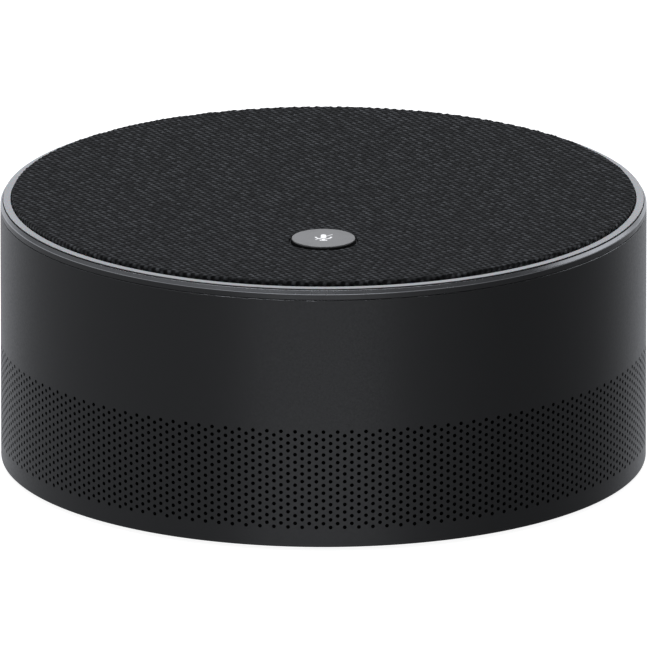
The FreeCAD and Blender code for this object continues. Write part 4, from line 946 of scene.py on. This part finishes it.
def make_button():
    """The button's cap with its flange and stem, and the collar round it."""
    outline = rounded([
        (0.0, BUTTON_TOP), (BUTTON_RADIUS, BUTTON_TOP), (BUTTON_RADIUS, FLANGE_LEVELS[1]),
        (BUTTON_FLANGE, FLANGE_LEVELS[1]), (BUTTON_FLANGE, FLANGE_LEVELS[0]),
        (STEM_RADIUS, FLANGE_LEVELS[0]), (STEM_RADIUS, BUTTON_FOOT), (0.0, BUTTON_FOOT)],
        {1: BUTTON_EDGE}, 4)
    cap = at_button(shade(join("button_cap", lathe(outline, 160, closed=False)), FINE_SHARP))
    finish_piece(cap, "button_grey", "mute_button", ["mute_button"])
    inner, outer = COLLAR_RADII
    outline = rounded([(inner, CLOTH_SEAT), (inner, COLLAR_TOP), (outer, COLLAR_TOP),
                       (outer, CLOTH_SEAT)], {1: 0.08, 2: 0.08}, 2)
    collar = at_button(shade(join("button_rim", lathe(outline, 128)), FINE_SHARP))
    finish_piece(collar, node_slots["button_collar"], stands_for=["button_collar"])


def arc_band(radius, width, start, end, up, steps=14):
    """The outline of a bent stroke about (0, up)."""
    angles = [math.radians(start + (end - start) * k / steps) for k in range(steps + 1)]
    outside = [((radius + width / 2) * math.cos(a), up + (radius + width / 2) * math.sin(a))
               for a in angles]
    inside = [((radius - width / 2) * math.cos(a), up + (radius - width / 2) * math.sin(a))
              for a in reversed(angles)]
    return outside + inside


def bar(x0, y0, x1, y1, width):
    """The outline of a straight stroke."""
    along = Vector((x1 - x0, y1 - y0)).normalized() * (width / 2)
    side = Vector((-along.y, along.x))
    return [(x0 - side.x, y0 - side.y), (x1 - side.x, y1 - side.y),
            (x1 + side.x, y1 + side.y), (x0 + side.x, y0 + side.y)]


def make_symbol():
    """The crossed microphone: head, cradle, stem, foot and slash."""
    head = [(y * -1.0, x + 1.0) for x, y in stadium(2.9, 1.15, 8)]
    outlines = [(head, 0.0), (arc_band(1.65, 0.42, 180.0, 360.0, 0.6), 0.0),
                (bar(0.0, -1.75, 0.0, -1.1, 0.55), 0.0), (bar(-0.8, -1.95, 0.8, -1.95, 0.5), 0.001),
                (bar(-1.7, -1.5, 1.9, 2.4, 0.2), 0.002)]
    symbol = face_out(join("mute_symbol", *(
        prism(outline, lambda u, v, w: (u, BUTTON_Y + v, BUTTON_TOP - 0.04 + w), 0.052 + lift)
        for outline, lift in outlines)))
    finish_piece(symbol, "connector_white", "mute_button", material=symbol_white)


# ---------------------------------------------------------------- light, floor and camera
def make_camera():
    """A long lens in front, a little above the top."""
    elevation, distance = math.radians(16.65), 6.3227
    target = Vector((0.00032, 0.0, 0.02916))
    camera = bpy.data.objects.new("camera", bpy.data.cameras.new("camera"))
    bpy.context.scene.collection.objects.link(camera)
    camera.data.lens, camera.data.sensor_width = 1650.0, 36.0
    camera.data.clip_start, camera.data.clip_end = 0.1, 30.0
    back = Vector((0.0, -math.cos(elevation), math.sin(elevation)))
    camera.location = target + back * distance
    camera.rotation_euler = back.to_track_quat("Z", "Y").to_euler()
    bpy.context.scene.camera = camera


STUDIO_TINT = (0.965, 0.99, 1.045, 1.0)
FLOOR_REACH = 3000


def softbox(name, place, aim, width, height, radiance):
    """A rectangular lamp whose face has a given brightness."""
    lamp = bpy.data.lights.new(name, "AREA")
    lamp.color = STUDIO_TINT[:3]
    lamp.shape, lamp.size, lamp.size_y = "RECTANGLE", width, height
    lamp.energy = radiance * math.pi * width * height
    holder = bpy.data.objects.new(name, lamp)
    bpy.context.scene.collection.objects.link(holder)
    holder.location = place
    holder.rotation_euler = (Vector(place) - Vector(aim)).to_track_quat("Z", "Y").to_euler()
    holder.visible_camera = False


def make_stage():
    """The room's glow, the pale floor and the softboxes."""
    scene = bpy.context.scene
    scene.view_settings.view_transform = "Standard"
    world = bpy.data.worlds.new("studio")
    scene.world = world
    world.use_nodes = True
    tree = world.node_tree
    tree.nodes.clear()
    seen = add_node(tree, "ShaderNodeLightPath").outputs["Is Camera Ray"]
    direction = add_node(tree, "ShaderNodeTexCoord").outputs["Generated"]
    parts = add_node(tree, "ShaderNodeSeparateXYZ", {"Vector": direction}).outputs

    def ramp(value, start, end, low, high):
        """A smooth change from low to high while the value goes from start to end."""
        return add_node(tree, "ShaderNodeMapRange", {
            "Value": value, "From Min": start, "From Max": end, "To Min": low, "To Max": high},
            interpolation_type="SMOOTHSTEP").outputs[0]

    low_wall = maths(tree, "MULTIPLY", ramp(parts["Y"], 0.5, 0.98, 0.42, 0.72),
                     ramp(parts["X"], 0.45, 0.98, 1.0, 0.5))
    glow = ramp(parts["Z"], 0.0, 0.24, low_wall, ramp(parts["X"], -0.6, 0.6, 0.15, 0.06))
    around = add_node(tree, "ShaderNodeBackground", {"Color": STUDIO_TINT, "Strength": glow})
    backdrop = add_node(tree, "ShaderNodeBackground", {"Strength": 1.0})
    mix = add_node(tree, "ShaderNodeMixShader", {0: seen, 1: around.outputs[0],
                                                 2: backdrop.outputs[0]})
    add_node(tree, "ShaderNodeOutputWorld", {"Surface": mix.outputs[0]})

    floor = new_piece("studio_floor", [(x * FLOOR_REACH, y * FLOOR_REACH, 0)
                                       for x, y in ((-1, -1), (1, -1), (1, 1), (-1, 1))],
                      [(0, 1, 2, 3)])
    pale = bpy.data.materials.new("studio_floor")
    pale.use_nodes = True
    tree = pale.node_tree
    tree.nodes.clear()
    diffuse = add_node(tree, "ShaderNodeBsdfDiffuse", {"Color": (0.5, 0.5, 0.5, 1.0)})
    white = add_node(tree, "ShaderNodeEmission", {"Strength": 0.93})
    both = add_node(tree, "ShaderNodeAddShader", {0: diffuse.outputs[0], 1: white.outputs[0]})
    seen = add_node(tree, "ShaderNodeLightPath").outputs["Is Camera Ray"]
    mix = add_node(tree, "ShaderNodeMixShader", {0: seen, 1: diffuse.outputs[0],
                                                 2: both.outputs[0]})
    add_node(tree, "ShaderNodeOutputMaterial", {"Surface": mix.outputs[0]})
    floor.data.materials.append(pale)
    floor.visible_glossy = False
    floor.visible_shadow = False

    softbox("overhead", (-0.1, 0.2, 1.5), (0.0, 0.0, 0.0), 1.3, 1.3, 3.4)
    softbox("front", (-0.04, -1.15, -0.33), (0.0, 0.0, 0.03), 1.05, 0.6, 0.56)
    softbox("right", (1.16, 0.55, 0.5), (0.0, 0.0, 0.05), 1.0, 0.6, 0.8)


for make in (make_camera, make_stage, make_housing, make_bezel, make_ring, make_foot, make_base,
             make_pad, make_cloth, make_button, make_symbol):
    make()

for node_name, cad_object in nodes.items():
    cad_object.data.materials.clear()
    cad_object.data.materials.append(finishes[node_slots[node_name]])
